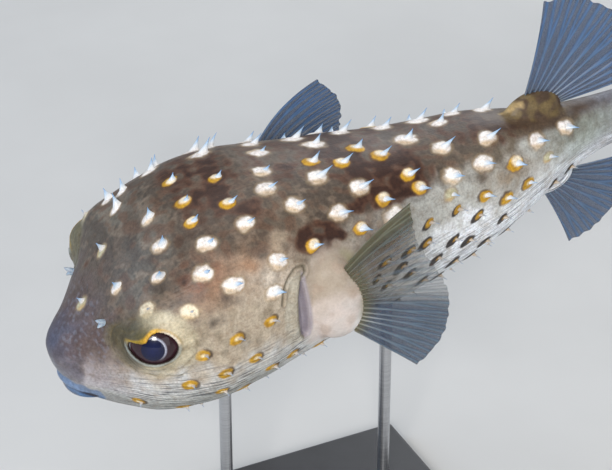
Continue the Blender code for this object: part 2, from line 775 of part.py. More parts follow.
def main():
    clear_scene()
    fish = scratch_collection("burrfish")
    guides = scratch_collection("guides")
    brown = material("skin_brown", SKIN_BROWN, 0.5)
    pale = material("skin_pale", SKIN_PALE, 0.5)
    grey = material("fin", FIN_GREY, 0.45)
    dark = material("eye", EYE_DARK, 0.12)
    black = material("stand", STAND_DARK, 0.45)
    steel = material("rod", ROD_STEEL, 0.3, 1.0)
    flesh = grown_flesh(guides)
    pieces = [make_head(fish, brown), make_trunk(fish, brown), make_tail_stem(fish, pale)]
    pieces += make_fins(fish, grey, flesh)
    pieces += make_eyes(fish, dark)
    pose = fish_pose()
    holder = bpy.data.objects.new("fish_pose", None)
    fish.objects.link(holder)
    holder.matrix_world = pose
    for piece in pieces:
        piece.parent = holder
    make_stand(fish, pose, black, steel, flesh)
    remove_collection(guides)
    for piece in fish.objects:
        if piece.type == "MESH":
            piece.data.shade_smooth()
            piece.data.set_sharp_from_angle(angle=math.radians(40))


main()
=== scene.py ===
"""Looks for the life-size yellowspotted burrfish on its display stand.

The fish is built in its own frame, in metres: x runs back from the snout, z is up and its left side
is at -y. FISH_POSE then tips it nose down over the stand. Angles round the body are in degrees from
the back's midline, positive down the left side.
"""
import json
import math
import random

import bmesh
import bpy
import numpy as np
from mathutils import Matrix, Vector

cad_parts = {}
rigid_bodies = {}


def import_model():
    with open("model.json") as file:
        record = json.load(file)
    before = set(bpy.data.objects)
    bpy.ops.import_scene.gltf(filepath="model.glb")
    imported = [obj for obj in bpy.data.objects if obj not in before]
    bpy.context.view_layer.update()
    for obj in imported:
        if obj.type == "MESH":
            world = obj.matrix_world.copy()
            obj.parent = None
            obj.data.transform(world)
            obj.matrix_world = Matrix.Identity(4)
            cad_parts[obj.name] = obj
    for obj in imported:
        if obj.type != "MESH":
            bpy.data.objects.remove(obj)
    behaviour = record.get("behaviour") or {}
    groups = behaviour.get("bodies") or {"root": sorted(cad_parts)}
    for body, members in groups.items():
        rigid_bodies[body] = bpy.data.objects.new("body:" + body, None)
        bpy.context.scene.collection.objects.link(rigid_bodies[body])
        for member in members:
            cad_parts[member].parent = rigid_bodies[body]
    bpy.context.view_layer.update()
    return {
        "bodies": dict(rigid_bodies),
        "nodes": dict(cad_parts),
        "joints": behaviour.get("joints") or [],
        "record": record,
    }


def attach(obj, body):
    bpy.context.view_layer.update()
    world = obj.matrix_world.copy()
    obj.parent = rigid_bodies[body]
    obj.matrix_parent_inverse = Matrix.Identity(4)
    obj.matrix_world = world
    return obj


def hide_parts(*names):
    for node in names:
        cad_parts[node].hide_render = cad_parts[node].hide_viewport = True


MM = 0.001

# Outline of the body in millimetres: distance back from the snout, top, bottom, half width.
STATIONS_MM = (
    (-2.6, -0.5, -0.5, 0.0),
    (-2.0, 4.2, -5.6, 4.6),
    (0.4, 7.6, -11.6, 9.2),
    (4.0, 10.6, -18.6, 13.2),
    (10.0, 14.6, -24.6, 18.4),
    (20.0, 23.4, -31.0, 28.2),
    (30.0, 32.8, -35.8, 36.8),
    (42.0, 41.5, -38.0, 43.0),
    (56.0, 48.0, -39.2, 46.5),
    (72.0, 50.5, -38.5, 46.5),
    (86.0, 50.0, -37.5, 44.0),
    (103.0, 46.0, -37.0, 40.5),
    (121.0, 41.0, -36.5, 37.0),
    (140.0, 36.0, -35.5, 34.0),
    (156.0, 31.5, -34.0, 31.0),
    (174.0, 28.0, -31.5, 28.0),
    (192.0, 25.0, -27.5, 24.5),
    (207.0, 21.0, -23.0, 19.5),
    (222.0, 16.8, -18.0, 14.0),
    (237.0, 14.5, -14.0, 9.0),
    (252.0, 13.2, -11.5, 6.2),
    (271.0, 12.4, -11.4, 4.0),
)
SECTION_POWER = 2.3
WIDEST_SHARE = 0.52
TAIL_BEND_START = 113 * MM
TAIL_BEND = 0.154
TAIL_DROP = 0.106
NOSE_DOWN = 10.8
# The stem's rear end bows back in its middle, under the roots of the tail fin.
TAIL_END_START = 258 * MM
TAIL_END_HALF = 12 * MM
TAIL_END_BOW = 5 * MM

# Eyes: place of each, and the mound of skin round it.
EYE_X = 31.0 * MM
EYE_ANGLE = 71.5
EYE_TURN_X = 3.5 * MM
EYE_TURN_ANGLE = 6.0
EYE_RADIUS = 12.0 * MM
EYE_DEPTH = 9.0 * MM
MOUND_BACK = 3.5 * MM
MOUND_ABOVE = 11.0
MOUND_HEIGHT = 5.2 * MM
MOUND_SPREAD = 13.0 * MM
LID_THICKNESS = 1.1 * MM
# Edge of the opening between the lids: degrees from the rear corner, up and round, and its distance
# in millimetres from the middle. The front of the upper lid hangs over the iris.
LID_EDGE = (
    (0, 9.6), (25, 9.1), (48, 8.3), (70, 7.3), (90, 6.0), (108, 4.6), (124, 3.8), (141, 4.1),
    (158, 6.2), (169, 9.1), (180, 9.8), (200, 8.5), (232, 6.8), (270, 6.3), (307, 7.3), (335, 9.0),
)
# Folds of the socket, each part of a ring round the lids: distance past their edge and depth in
# millimetres, the direction of its middle and how far it runs to each side, in degrees.
EYE_FOLDS = (
    (2.2, 0.36, -40, 95), (4.2, 0.34, -120, 80), (6.6, 0.36, -20, 60), (9.2, 0.42, -95, 75),
    (5.4, 0.30, 165, 40), (8.4, 0.50, 172, 62),
)

# Mouth.
MOUTH_HALF = 12.0 * MM
MOUTH_BACK = 6.8 * MM
MOUTH_FRONT_X = 1.4 * MM
MOUTH_Z = -14.4 * MM
MOUTH_DROP = 3.6 * MM
LIP_RADIUS = 2.9 * MM
LIP_SPREAD = 2.6 * MM
LIP_STEP = 1.2 * MM

# Tentacle over each nostril: distance back and angle.
NOSTRILS = ((18.0 * MM, 37.0), (20.5 * MM, -43.0))

# Fleshy pads at the roots of the fins: centre and half sizes.
PECTORAL_PAD = ((104 * MM, 38 * MM, -1 * MM), (14 * MM, 8.5 * MM, 19 * MM))
DORSAL_PAD = ((219 * MM, 0.0, 18.0 * MM), (14 * MM, 5.2 * MM, 9.0 * MM))
ANAL_PAD = ((222 * MM, 0.0, -17.5 * MM), (12.5 * MM, 4.8 * MM, 7.0 * MM))
PECTORAL_PAD_FLARE = 16.0

# Gill slit: angle, then distance back in millimetres of its front and rear edges. The fold before it
# is a line of distance back and angle that ends in a hook above the slit.
GILL_SLIT = (
    (76.0, 91.7, 92.3), (81.0, 90.6, 92.4), (86.0, 89.0, 92.4), (92.0, 87.4, 92.4),
    (99.0, 86.6, 92.2), (107.0, 86.8, 91.6), (111.0, 88.0, 90.6),
)
GILL_FOLD = (
    (81.0, 86.5), (82.3, 82.5), (84.4, 78.0), (87.6, 74.2), (91.3, 71.8), (94.2, 73.0), (94.0, 75.8),
    (92.4, 78.0),
)
# Middle of the slit.
GILL_X = 89.0
GILL_ANGLE = 93.0

# Rows of thorns: angle, then distances back in millimetres.
BACK_ROWS = (
    (4, (16, 50, 80, 140, 162)),
    (9, (64, 98, 119)),
    (-6, (31, 65, 103, 126, 180)),
    (22, (28, 48, 62, 78, 95, 117, 173)),
    (15, (130, 147)),
    (27, (193,)),
    (-20, (44, 83, 104, 121, 141, 159, 174, 189, 202)),
    (-30, (50, 63, 88)),
)
SIDE_ROWS = (
    (37, (42, 63, 80, 102, 131, 153)),
    (50, (35, 57, 118, 138, 155, 171, 186, 214, 230)),
    (64, (47, 66, 86, 102, 124, 140, 167, 200)),
    (78, (80, 154, 168, 182, 217)),
    (90, (47, 61, 76, 131, 143, 151, 177, 192, 204)),
    (97, (119, 126, 138, 164)),
    (105, (40, 54, 67, 130, 142, 155, 171, 189)),
    (121, (22, 52, 74, 84, 112, 124, 148, 164, 180, 219, 229)),
    (134, (38, 62, 98, 136, 157, 174, 192)),
    (152, (46, 74, 92, 109, 126, 146, 165, 184, 206)),
    (170, (37, 60, 84, 101, 118, 136, 156, 198)),
)
RIGHT_SIDE_SHIFT = 3.0 * MM
SPINE_HEIGHT = 6.4 * MM
BELLY_SPINE_HEIGHT = 4.2 * MM
SPINE_HALF_LENGTH = 3.7 * MM
SPINE_HALF_WIDTH = 2.1 * MM
SPINE_ROOT = 1.6 * MM
SPINE_SEED = 11
SPINE_SIDES = 14
SPINE_LEVELS = 12

# Skin: rings and points round it, fineness of the joined surface, and how often all of it and the
# roots of the fins are smoothed.
BODY_RINGS = 260
BODY_SIDES = 200
VOXEL = 0.45 * MM
SMOOTHING_ROUNDS = 6
ROOT_SMOOTHING_ROUNDS = 40
MOTTLE_SEED = 5
MOTTLE_SIZES = (26, 11, 5, 2.4)
BACK_BROWN = (0.112, 0.085, 0.062)
# Where the body is widest, in millimetres back, and about its radius there.
FLOW_START = 75.0
FLOW_RADIUS = 43 * MM
# Pads that the thorns stand on: half length, half width and height in millimetres.
# Kinds of pad: an eyespot is yellow in a black ring, gold ones are on the rear flank, cheek ones low
# on the front of the body, and brow ones above and behind the eye.
PAD_SIZES = {
    "cream": (3.6, 2.5, 0.6),
    "white": (4.3, 3.4, 0.75),
    "yellow": (3.7, 2.9, 0.70),
    "eyespot": (3.9, 2.0, 0.30),
    "cheek": (3.7, 2.9, 0.45),
    "gold": (3.7, 2.7, 0.45),
    "brow": (4.1, 3.2, 0.60),
}
# How far a pad's middle lies behind its thorn, and how far from there any of its paint goes.
PAD_BACK = 1.3 * MM
EYESPOT_BACK = 1.9 * MM
PAD_REACH = 9 * MM
# Colours of the plain pads.
PLAIN_PADS = {"white": (0.88, 0.83, 0.79), "cream": (0.48, 0.45, 0.30), "brow": (0.80, 0.71, 0.53)}
# Smaller thorns: shares of the usual height and girth, and how amber the foot is.
SMALL_THORNS = {
    "eyespot": (0.82, 0.50, 1.0),
    "cheek": (0.62, 0.60, 1.0),
    "gold": (0.85, 0.70, 0.2),
    "cream": (0.75, 0.75, 0.35),
    "brow": (0.60, 0.65, 0.8),
}
# How large the white and yellow pads are along the body: distances back, then sizes.
PAD_GROWTH = ((20, 52, 64, 100, 150, 200), (0.72, 0.80, 1.0, 1.05, 1.15, 1.1))
# Yellow pads: angle either side and distance back in millimetres.
YELLOW_PADS = (
    (9, 64), (22, 62), (4, 80), (22, 78), (9, 119), (15, 130), (4, 140), (15, 147), (37, 153), (50, 138),
    (50, 155), (64, 102), (64, 124), (64, 200),
)
GOLD_PADS = ((78, 182), (90, 192), (90, 204))
CREAM_PADS = ((64, 167), (78, 217))
# Dark brown patches of the back: distance back, angle either side, reach along and round, strength.
DARK_PATCHES = (
    (74, 8, 14, 18, 0.75), (82, 30, 9, 10, 0.55), (132, 4, 16, 12, 0.80), (147, 30, 14, 20, 1.0),
    (140, 24, 14, 14, 1.2), (140, 47, 17, 9, 0.95), (104, 60, 10, 7.5, 1.2), (172, 8, 12, 16, 0.45),
    (196, 30, 14, 18, 0.35), (214, 6, 14, 26, 0.8), (50, 44, 9, 10, 0.4), (97, 4, 10, 12, 0.35),
    (108, 13, 12, 10, 0.5), (203, 8, 20, 24, 0.95), (24, 6, 9, 24, 0.3),
)
# The patches' reaches are multiplied by this.
PATCH_GROWTH = 1.155

# Fins: rows from root to margin, columns for each ray, thickness of membrane and ray, and ripple.
FIN_ROWS = 46
COLUMNS_PER_RAY = 14
MEMBRANE = 0.26 * MM
RAY_THICKNESS = 0.85 * MM
RAY_TAPER = 0.55 * MM
FIN_RIPPLE = 0.25 * MM

# Stand.
BASE_THICK = 9 * MM
ROD_CLEAR = 88 * MM
BALANCE_X = 104 * MM
FLOOR_HALF = 4

# Lamps: name, place, power, size and colour. All point at one place, in an evenly lit room.
LIGHT_AIM = (0, 0, 0.14)
LIGHTS = (
    ("key", (-0.75, -1.25, 0.95), 19, 0.45, (1.0, 0.97, 0.94)),
    ("top", (0.15, 0.25, 1.5), 5.5, 1.0, (1, 1, 1)),
    ("rim", (0.9, 0.9, 0.7), 4.5, 0.6, (0.90, 0.95, 1.0)),
    ("cool_rim", (-1.15, 0.55, 0.75), 4.5, 0.8, (0.45, 0.68, 1.0)),
    ("fill", (0.30, -1.50, 0.42), 4.5, 1.0, (0.94, 0.97, 1.0)),
)
SKY_COLOUR = (0.94, 0.96, 1.0, 1)
SKY_POWER = 0.36

# Camera, in the fish's frame: towards it, up in its picture, and what it looks at.
CAMERA_TOWARDS = (-0.2668, -0.7618, 0.5903)
CAMERA_UP = (0.3872, 0.4761, 0.7895)
CAMERA_TARGET = (113.4 * MM, 0.0, 0.0)
CAMERA_DISTANCE = 0.967
CAMERA_FOCUS = 2388.3        # focal length in pixels of a picture 612 wide
PICTURE = (612, 470)
PICTURE_CENTRE = (310.4, 240.4)
SENSOR_WIDTH = 36


def smooth_slopes(xs, ys):
    """Slopes for a curve through the points that never overshoots them."""
    h = np.diff(xs)
    d = np.diff(ys) / h
    m = np.zeros_like(ys)
    m[0], m[-1] = d[0], d[-1]
    for i in range(1, len(ys) - 1):
        if d[i - 1] * d[i] > 0:
            w1 = 2 * h[i] + h[i - 1]
            w2 = h[i] + 2 * h[i - 1]
            m[i] = (w1 + w2) / (w1 / d[i - 1] + w2 / d[i])
    return m


class Curve:
    """A smooth curve through points, read at any place."""

    def __init__(self, xs, ys):
        self.xs = np.asarray(xs, float)
        self.ys = np.asarray(ys, float)
        self.m = smooth_slopes(self.xs, self.ys)

    def __call__(self, x):
        x = np.clip(x, self.xs[0], self.xs[-1])
        i = np.clip(np.searchsorted(self.xs, x) - 1, 0, len(self.xs) - 2)
        h = self.xs[i + 1] - self.xs[i]
        t = (x - self.xs[i]) / h
        return (
            self.ys[i] * (1 + 2 * t) * (1 - t) ** 2
            + self.m[i] * h * t * (1 - t) ** 2
            + self.ys[i + 1] * t * t * (3 - 2 * t)
            + self.m[i + 1] * h * t * t * (t - 1)
        )


STATIONS = np.array(STATIONS_MM) * MM
RUN = np.concatenate([[0], np.cumsum(np.hypot(np.diff(STATIONS[:, 0]), np.diff(STATIONS[:, 1])))])
X_AT, TOP_AT, BOTTOM_AT, HALF_AT = (Curve(RUN, STATIONS[:, k]) for k in range(4))
RUN_TABLE = np.linspace(RUN[0], RUN[-1], 4000)
X_TABLE = X_AT(RUN_TABLE)


def run_at(x):
    """Distance along the outline at a distance back from the snout."""
    return np.interp(x, X_TABLE, RUN_TABLE)


def tail_drift(x):
    """Sideways shift of the bent tail."""
    return -TAIL_BEND * np.maximum(0.0, np.asarray(x) - TAIL_BEND_START) ** 2


def tail_fall(x):
    """Drop of the bent tail."""
    return -TAIL_DROP * np.maximum(0.0, np.asarray(x) - TAIL_BEND_START) ** 2


def unit(v):
    """Vectors brought to length 1."""
    return v / np.maximum(np.linalg.norm(v, axis=-1, keepdims=True), 1e-12)


def step(low, high, value):
    """Smooth rise from 0 at low to 1 at high, or a fall where low is the larger."""
    t = np.clip((value - low) / (high - low), 0, 1)
    return t * t * (3 - 2 * t)


def bell(offset, width):
    """1 where offset is 0, fading softly to 0 past width."""
    return np.exp(-(offset / width) ** 2)


def distance_to_line(points, line):
    """Distance of each point from the nearest point of a line."""
    return np.min(np.linalg.norm(points[:, None] - line[None], axis=2), axis=1)


def on_midline(x, y, z):
    """A place given for a straight fish, moved with the bent tail."""
    return np.array((x, float(tail_drift(x)) + y, z + float(tail_fall(x))))


def section(run, angle):
    """Points of the plain outline."""
    run, angle = np.broadcast_arrays(np.asarray(run, float), np.radians(np.asarray(angle, float)))
    top, bottom, half, x = TOP_AT(run), BOTTOM_AT(run), HALF_AT(run), X_AT(run)
    middle = bottom + WIDEST_SHARE * (top - bottom)
    s, c = np.sin(angle), np.cos(angle)
    across = np.sign(s) * np.abs(s) ** (2 / SECTION_POWER)
    upward = np.sign(c) * np.abs(c) ** (2 / SECTION_POWER)
    rise = np.where(upward > 0, top - middle, middle - bottom)
    return np.stack([x, tail_drift(x) - half * across, tail_fall(x) + middle + rise * upward], -1)


def outward(run, angle):
    """Directions square to the plain outline."""
    run = np.clip(run, RUN[0] + 0.2 * MM, RUN[-1] - 0.2 * MM)
    along = section(run + 0.1 * MM, angle) - section(run - 0.1 * MM, angle)
    around = section(run, np.asarray(angle) + 1) - section(run, np.asarray(angle) - 1)
    return unit(np.cross(around, along))


def eye_place(side):
    """Distance back and angle of an eye; side is 1 on the left and -1 on the right."""
    if side > 0:
        return EYE_X, EYE_ANGLE
    return EYE_X + EYE_TURN_X, -(EYE_ANGLE - EYE_TURN_ANGLE)


def mound_centre(side):
    """Middle of the mound of skin round an eye."""
    x, angle = eye_place(side)
    return section(run_at(x + MOUND_BACK), angle - MOUND_ABOVE * side)


MOUND_CENTRES = [mound_centre(side) for side in (1, -1)]


def swelling(points):
    """How far the two mounds lift the skin."""
    total = 0.0
    for centre in MOUND_CENTRES:
        total = total + MOUND_HEIGHT * bell(np.linalg.norm(points - centre, axis=-1), MOUND_SPREAD)
    return total


def skin(run, angle, grow=0.0):
    """Points of the skin, mounds included, or of a surface grown from it."""
    points = section(run, angle)
    return points + outward(run, angle) * (swelling(points) + grow)[..., None]


def body_place(points):
    """Run and angle of points on or near the skin."""
    x = np.clip(points[:, 0], X_TABLE[0] + 1e-6, X_TABLE[-1])
    run = run_at(x)
    top, bottom, half = TOP_AT(run), BOTTOM_AT(run), np.maximum(HALF_AT(run), 1e-5)
    middle = bottom + WIDEST_SHARE * (top - bottom)
    y = points[:, 1] - tail_drift(x)
    z = points[:, 2] - tail_fall(x) - middle
    rise = np.maximum(np.where(z > 0, top - middle, middle - bottom), 1e-5)
    s = -np.sign(y) * (np.abs(y) / half) ** (SECTION_POWER / 2)
    c = np.sign(z) * (np.abs(z) / rise) ** (SECTION_POWER / 2)
    return run, np.degrees(np.arctan2(s, c))


def fish_pose():
    """Tips the fish nose down and sets it over the stand."""
    tip = Matrix.Rotation(math.radians(-NOSE_DOWN), 4, "Y")
    lowest = min((tip @ Vector(section(run_at(x * MM), 180))).z for x in range(10, 260, 5))
    under = tip @ Vector((BALANCE_X, 0, 0))
    return Matrix.Translation((-under.x, 0, BASE_THICK + ROD_CLEAR - lowest)) @ tip


FISH_POSE = fish_pose()


def flow_table():
    """Lines that run down the body square to its cross sections, told by their angle at its widest."""
    xs = np.arange(1.0, 268.0, 1.0)
    starts = np.arange(-190.0, 191.0, 2.0)
    table = np.zeros((len(xs), len(starts)))
    widest = int(np.argmin(np.abs(xs - FLOW_START)))

    def slope(x, angles):
        run, d = run_at(x * MM), 0.5
        along = (section(run_at((x + d) * MM), angles) - section(run_at((x - d) * MM), angles)) / (2 * d * MM)
        around = (section(run, angles + d) - section(run, angles - d)) / (2 * d)
        out = unit(np.cross(around, along))
        back = np.array((1.0, 0, 0)) - out * out[:, :1]
        share = ((back - back[:, :1] * along) * around).sum(-1)
        scale = np.maximum((around ** 2).sum(-1), 1e-12) * np.maximum(back[:, 0], 0.15)
        return np.clip(share / scale * MM, -3, 3)

    for towards in (-1, 1):
        angles = starts.copy()
        i = widest
        while 0 <= i < len(xs):
            table[i] = np.interp(starts, angles, starts)
            angles = angles + slope(xs[i], angles) * towards
            i += towards
    return xs, starts, table


def flow_place(x, angle):
    """Place across the flow lines, in metres at the body's widest."""
    xs, starts, table = flow_table()
    i = np.clip((x - xs[0]) / (xs[1] - xs[0]), 0, len(xs) - 1.001)
    k = np.clip((angle - starts[0]) / (starts[1] - starts[0]), 0, len(starts) - 1.001)
    i0, k0 = i.astype(int), k.astype(int)
    di, dk = i - i0, k - k0
    value = (
        table[i0, k0] * (1 - di) * (1 - dk) + table[i0 + 1, k0] * di * (1 - dk)
        + table[i0, k0 + 1] * (1 - di) * dk + table[i0 + 1, k0 + 1] * di * dk
    )
    return np.radians(value) * FLOW_RADIUS


def waves(points, length, seed, count=26):
    """A soft random field of about the given wavelength, from -1 to 1."""
    draw = np.random.default_rng(MOTTLE_SEED * 100 + seed)
    towards = unit(draw.normal(size=(count, 3)))
    reach = 2 * np.pi / (length * draw.uniform(0.75, 1.35, count))
    shift = draw.uniform(0, 2 * np.pi, count)
    field = np.zeros(len(points))
    for k in range(count):
        field += np.sin(points @ (towards[k] * reach[k]) + shift[k])
    return np.clip(field / math.sqrt(count / 2) / 2, -1, 1)


def link_object(name, data):
    """An object in the scene that holds the mesh, lamp or camera given."""
    made = bpy.data.objects.new(name, data)
    bpy.context.scene.collection.objects.link(made)
    return made


def new_object(name, vertices, faces):
    """An object from lists of points and faces."""
    mesh = bpy.data.meshes.new(name)
    mesh.from_pydata([tuple(v) for v in vertices], [], [tuple(f) for f in faces])
    mesh.update()
    return link_object(name, mesh)


def grid_faces(rows, columns, closed_round=True, start=0):
    """Quads of a grid whose rows are rings, or open strips."""
    faces = []
    last = columns if closed_round else columns - 1
    for i in range(rows - 1):
        for j in range(last):
            k = (j + 1) % columns
            a, b = start + i * columns + j, start + i * columns + k
            faces.append((a, b, b + columns, a + columns))
    return faces


def ring_solid(name, rings):
    """A closed solid through rings of points, with a fan at each end."""
    rings = np.asarray(rings, float)
    count, around = rings.shape[:2]
    vertices = list(rings.reshape(-1, 3)) + [rings[0].mean(0), rings[-1].mean(0)]
    faces = grid_faces(count, around)
    first, last = len(vertices) - 2, len(vertices) - 1
    for j in range(around):
        k = (j + 1) % around
        faces.append((k, j, first))
        base = (count - 1) * around
        faces.append((base + j, base + k, last))
    made = new_object(name, vertices, faces)
    face_out(made)
    return made


def face_out(made):
    """Turns all faces outward."""
    bm = bmesh.new()
    bm.from_mesh(made.data)
    bmesh.ops.recalc_face_normals(bm, faces=bm.faces)
    bm.to_mesh(made.data)
    bm.free()


def tube(name, points, radii, sides=20):
    """A round bar of changing thickness along a line."""
    points = np.asarray(points, float)
    along = unit(np.gradient(points, axis=0))
    side = unit(np.cross(along, (0, 0, 1.0)))
    up = np.cross(side, along)
    turn = np.linspace(0, 2 * np.pi, sides, endpoint=False)
    rings = [
        p + (np.outer(np.cos(turn), s) + np.outer(np.sin(turn), u)) * r
        for p, s, u, r in zip(points, side, up, radii)
    ]
    return ring_solid(name, rings)


def ellipsoid(name, centre, halves, turn=None, segments=64, rings=40):
    """An egg of three half sizes."""
    bm = bmesh.new()
    bmesh.ops.create_uvsphere(bm, u_segments=segments, v_segments=rings, radius=1.0)
    frame = Matrix.Translation(centre) @ (turn or Matrix.Identity(4)) @ Matrix.Diagonal((*halves, 1))
    bmesh.ops.transform(bm, matrix=frame, verts=bm.verts)
    mesh = bpy.data.meshes.new(name)
    bm.to_mesh(mesh)
    bm.free()
    return link_object(name, mesh)


def with_modifier(made, kind, **settings):
    """Applies one modifier and keeps its result as the object's mesh."""
    change = made.modifiers.new("change", kind)
    for key, value in settings.items():
        setattr(change, key, value)
    bpy.context.view_layer.update()
    mesh = bpy.data.meshes.new_from_object(made.evaluated_get(bpy.context.evaluated_depsgraph_get()))
    made.modifiers.remove(change)
    made.data = mesh


def combine(made, others, operation):
    """Joins or cuts with other closed pieces, which are used up."""
    for other in others:
        with_modifier(made, "BOOLEAN", operation=operation, solver="MANIFOLD", object=other)
        bpy.data.objects.remove(other, do_unlink=True)


def coordinates(mesh):
    """All points of a mesh."""
    flat = np.empty(len(mesh.vertices) * 3)
    mesh.vertices.foreach_get("co", flat)
    return flat.reshape(-1, 3)


def set_coordinates(mesh, points):
    """Moves all points of a mesh."""
    mesh.vertices.foreach_set("co", np.ascontiguousarray(points, float).ravel())
    mesh.update()


def vertex_normals(mesh):
    """The outward direction at each point."""
    flat = np.empty(len(mesh.vertices) * 3)
    mesh.vertex_normals.foreach_get("vector", flat)
    return flat.reshape(-1, 3)


def relax(mesh, rounds, weight=None):
    """Moves each vertex towards the middle of its neighbours."""
    ends = np.empty(len(mesh.edges) * 2, dtype=np.int64)
    mesh.edges.foreach_get("vertices", ends)
    a, b = ends[0::2], ends[1::2]
    start, stop = np.concatenate([a, b]), np.concatenate([b, a])
    points = coordinates(mesh)
    count = np.maximum(np.bincount(start, minlength=len(points)), 1)[:, None]
    share = 0.5 if weight is None else 0.5 * weight[:, None]
    for _ in range(rounds):
        total = np.stack([np.bincount(start, points[stop, k], len(points)) for k in range(3)], -1)
        points += share * (total / count - points)
    set_coordinates(mesh, points)


def add_value(mesh, name, values):
    """Stores a number for each point."""
    made = mesh.attributes.new(name, "FLOAT", "POINT")
    made.data.foreach_set("value", np.ascontiguousarray(values, float))


def add_vector(mesh, name, values):
    """Stores a vector for each point."""
    made = mesh.attributes.new(name, "FLOAT_VECTOR", "POINT")
    made.data.foreach_set("vector", np.ascontiguousarray(values, float).ravel())


def add_colour(mesh, name, values):
    """Stores a colour for each point."""
    made = mesh.color_attributes.new(name, "FLOAT_COLOR", "POINT")
    whole = np.ones((len(values), 4))
    whole[:, :3] = values
    made.data.foreach_set("color", whole.ravel())


def put_in_place(made, name, material):
    """Tips a finished piece with the fish and hands it to the model."""
    made.data.transform(FISH_POSE)
    made.name = name
    made.data.name = name
    made.data.materials.clear()
    made.data.materials.append(material)
    made.data.shade_smooth()
    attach(made, "root")
    return made


def eye_frame(side):
    """Centre of an eyeball and its axes: back along the lids, up across them, and out."""
    x, angle = eye_place(side)
    run = run_at(x)
    out = unit(outward(run, angle) + np.array((0.10, -0.16 * side, 0.02)))
    centre = skin(run, angle) - out * EYE_DEPTH
    along = np.array((0.88, -0.44 * side, -0.17))
    along = unit(along - out * (out @ along))
    up = np.cross(out, along)
    if side < 0:
        up = -up
    return centre, along, up, out


def lid_radius(degrees):
    """Distance from the opening's middle to the lids' edge."""
    corners = np.array(LID_EDGE, float)
    around = np.concatenate([corners[:, 0] - 360, corners[:, 0], corners[:, 0] + 360])
    reach = np.tile(corners[:, 1], 3)
    return Curve(around, reach)(np.mod(degrees, 360)) * MM


def lid_cutter(side):
    """A plug in the shape of the opening between the lids."""
    centre, along, up, out = eye_frame(side)
    turn = np.linspace(0, 360, 120, endpoint=False)
    edge = lid_radius(turn)
    rings = []
    for level, share in ((0.55, 0.96), (0.85, 0.98), (1.25, 1.05)):
        flat = np.outer(np.cos(np.radians(turn)) * edge, along)
        flat = flat + np.outer(np.sin(np.radians(turn)) * edge, up)
        rings.append(centre + out * (EYE_RADIUS * level) + flat * share)
    return ring_solid("lid_cutter", rings)


def lip_line(sign, t):
    """Line of the upper lip (1), the lower lip (-1) or the seam (0)."""
    x = MOUTH_FRONT_X + MOUTH_BACK * t * t + (LIP_STEP if sign < 0 else 0)
    z = MOUTH_Z - MOUTH_DROP * t * t + sign * LIP_SPREAD * (1 - 0.55 * t * t)
    return np.stack([x, MOUTH_HALF * t, z], -1)


def gill_cutter(side):
    """A wedge that opens the gill slit, deepest at its rear edge."""
    rows = np.array(GILL_SLIT, float)
    angle = np.linspace(rows[0, 0], rows[-1, 0], 40)
    front, rear = (Curve(rows[:, 0], rows[:, k] * MM)(angle) for k in (1, 2))
    rings = []
    for a, x0, x1 in zip(angle * side, front, rear):
        ahead, behind = skin(run_at(x0), a), skin(run_at(x1), a)
        out = outward(run_at(x1), a)
        back = unit(behind - ahead)
        deep = behind - out * 3.4 * MM - back * 1.6 * MM
        rings.append([
            ahead + out * 1.6 * MM - back * 0.4 * MM, behind + out * 1.6 * MM,
            behind - out * 0.9 * MM - back * 0.3 * MM, deep, deep - back * 0.8 * MM,
            ahead - out * 0.5 * MM + back * 0.2 * MM,
        ])
    return ring_solid("gill_cutter", rings)


def spine_places():
    """Angle and distance back of every thorn."""
    places = [(angle, x * MM) for angle, row in BACK_ROWS for x in row]
    for angle, row in SIDE_ROWS:
        for x in row:
            places.append((angle, x * MM))
            places.append((-angle, x * MM + RIGHT_SIDE_SHIFT))
    return places


def dark_patches(x, turn):
    """How dark the back's brown patches are, from places in millimetres and degrees."""
    total = np.zeros(np.shape(x))
    for x_middle, turn_middle, x_reach, turn_reach, strength in DARK_PATCHES:
        reaches = x_reach * PATCH_GROWTH, turn_reach * PATCH_GROWTH
        total = np.maximum(total, strength * spread(x, x_middle, reaches[0], turn, turn_middle, reaches[1]))
    return total


def spread(x, x_middle, x_reach, turn, turn_middle, turn_reach):
    """A soft round patch on the skin, 1 in its middle."""
    return np.exp(-((x - x_middle) / x_reach) ** 2 - ((turn - turn_middle) / turn_reach) ** 2)


def spot_kind(x, angle):
    """Which of the pads in PAD_SIZES a thorn stands on."""
    turn = abs(angle)
    for kind, places in (("yellow", YELLOW_PADS), ("gold", GOLD_PADS), ("cream", CREAM_PADS)):
        if any(abs(turn - a) < 5 and abs(x - at) < 5 for a, at in places):
            return kind
    if turn > 84 and x > 112 or turn > 72 and x > 150:
        return "eyespot"
    if turn > 84:
        return "cheek"
    if x < 52 and turn > 47:
        return "brow"
    return "cream" if x < 34 and turn < 15 else "white"


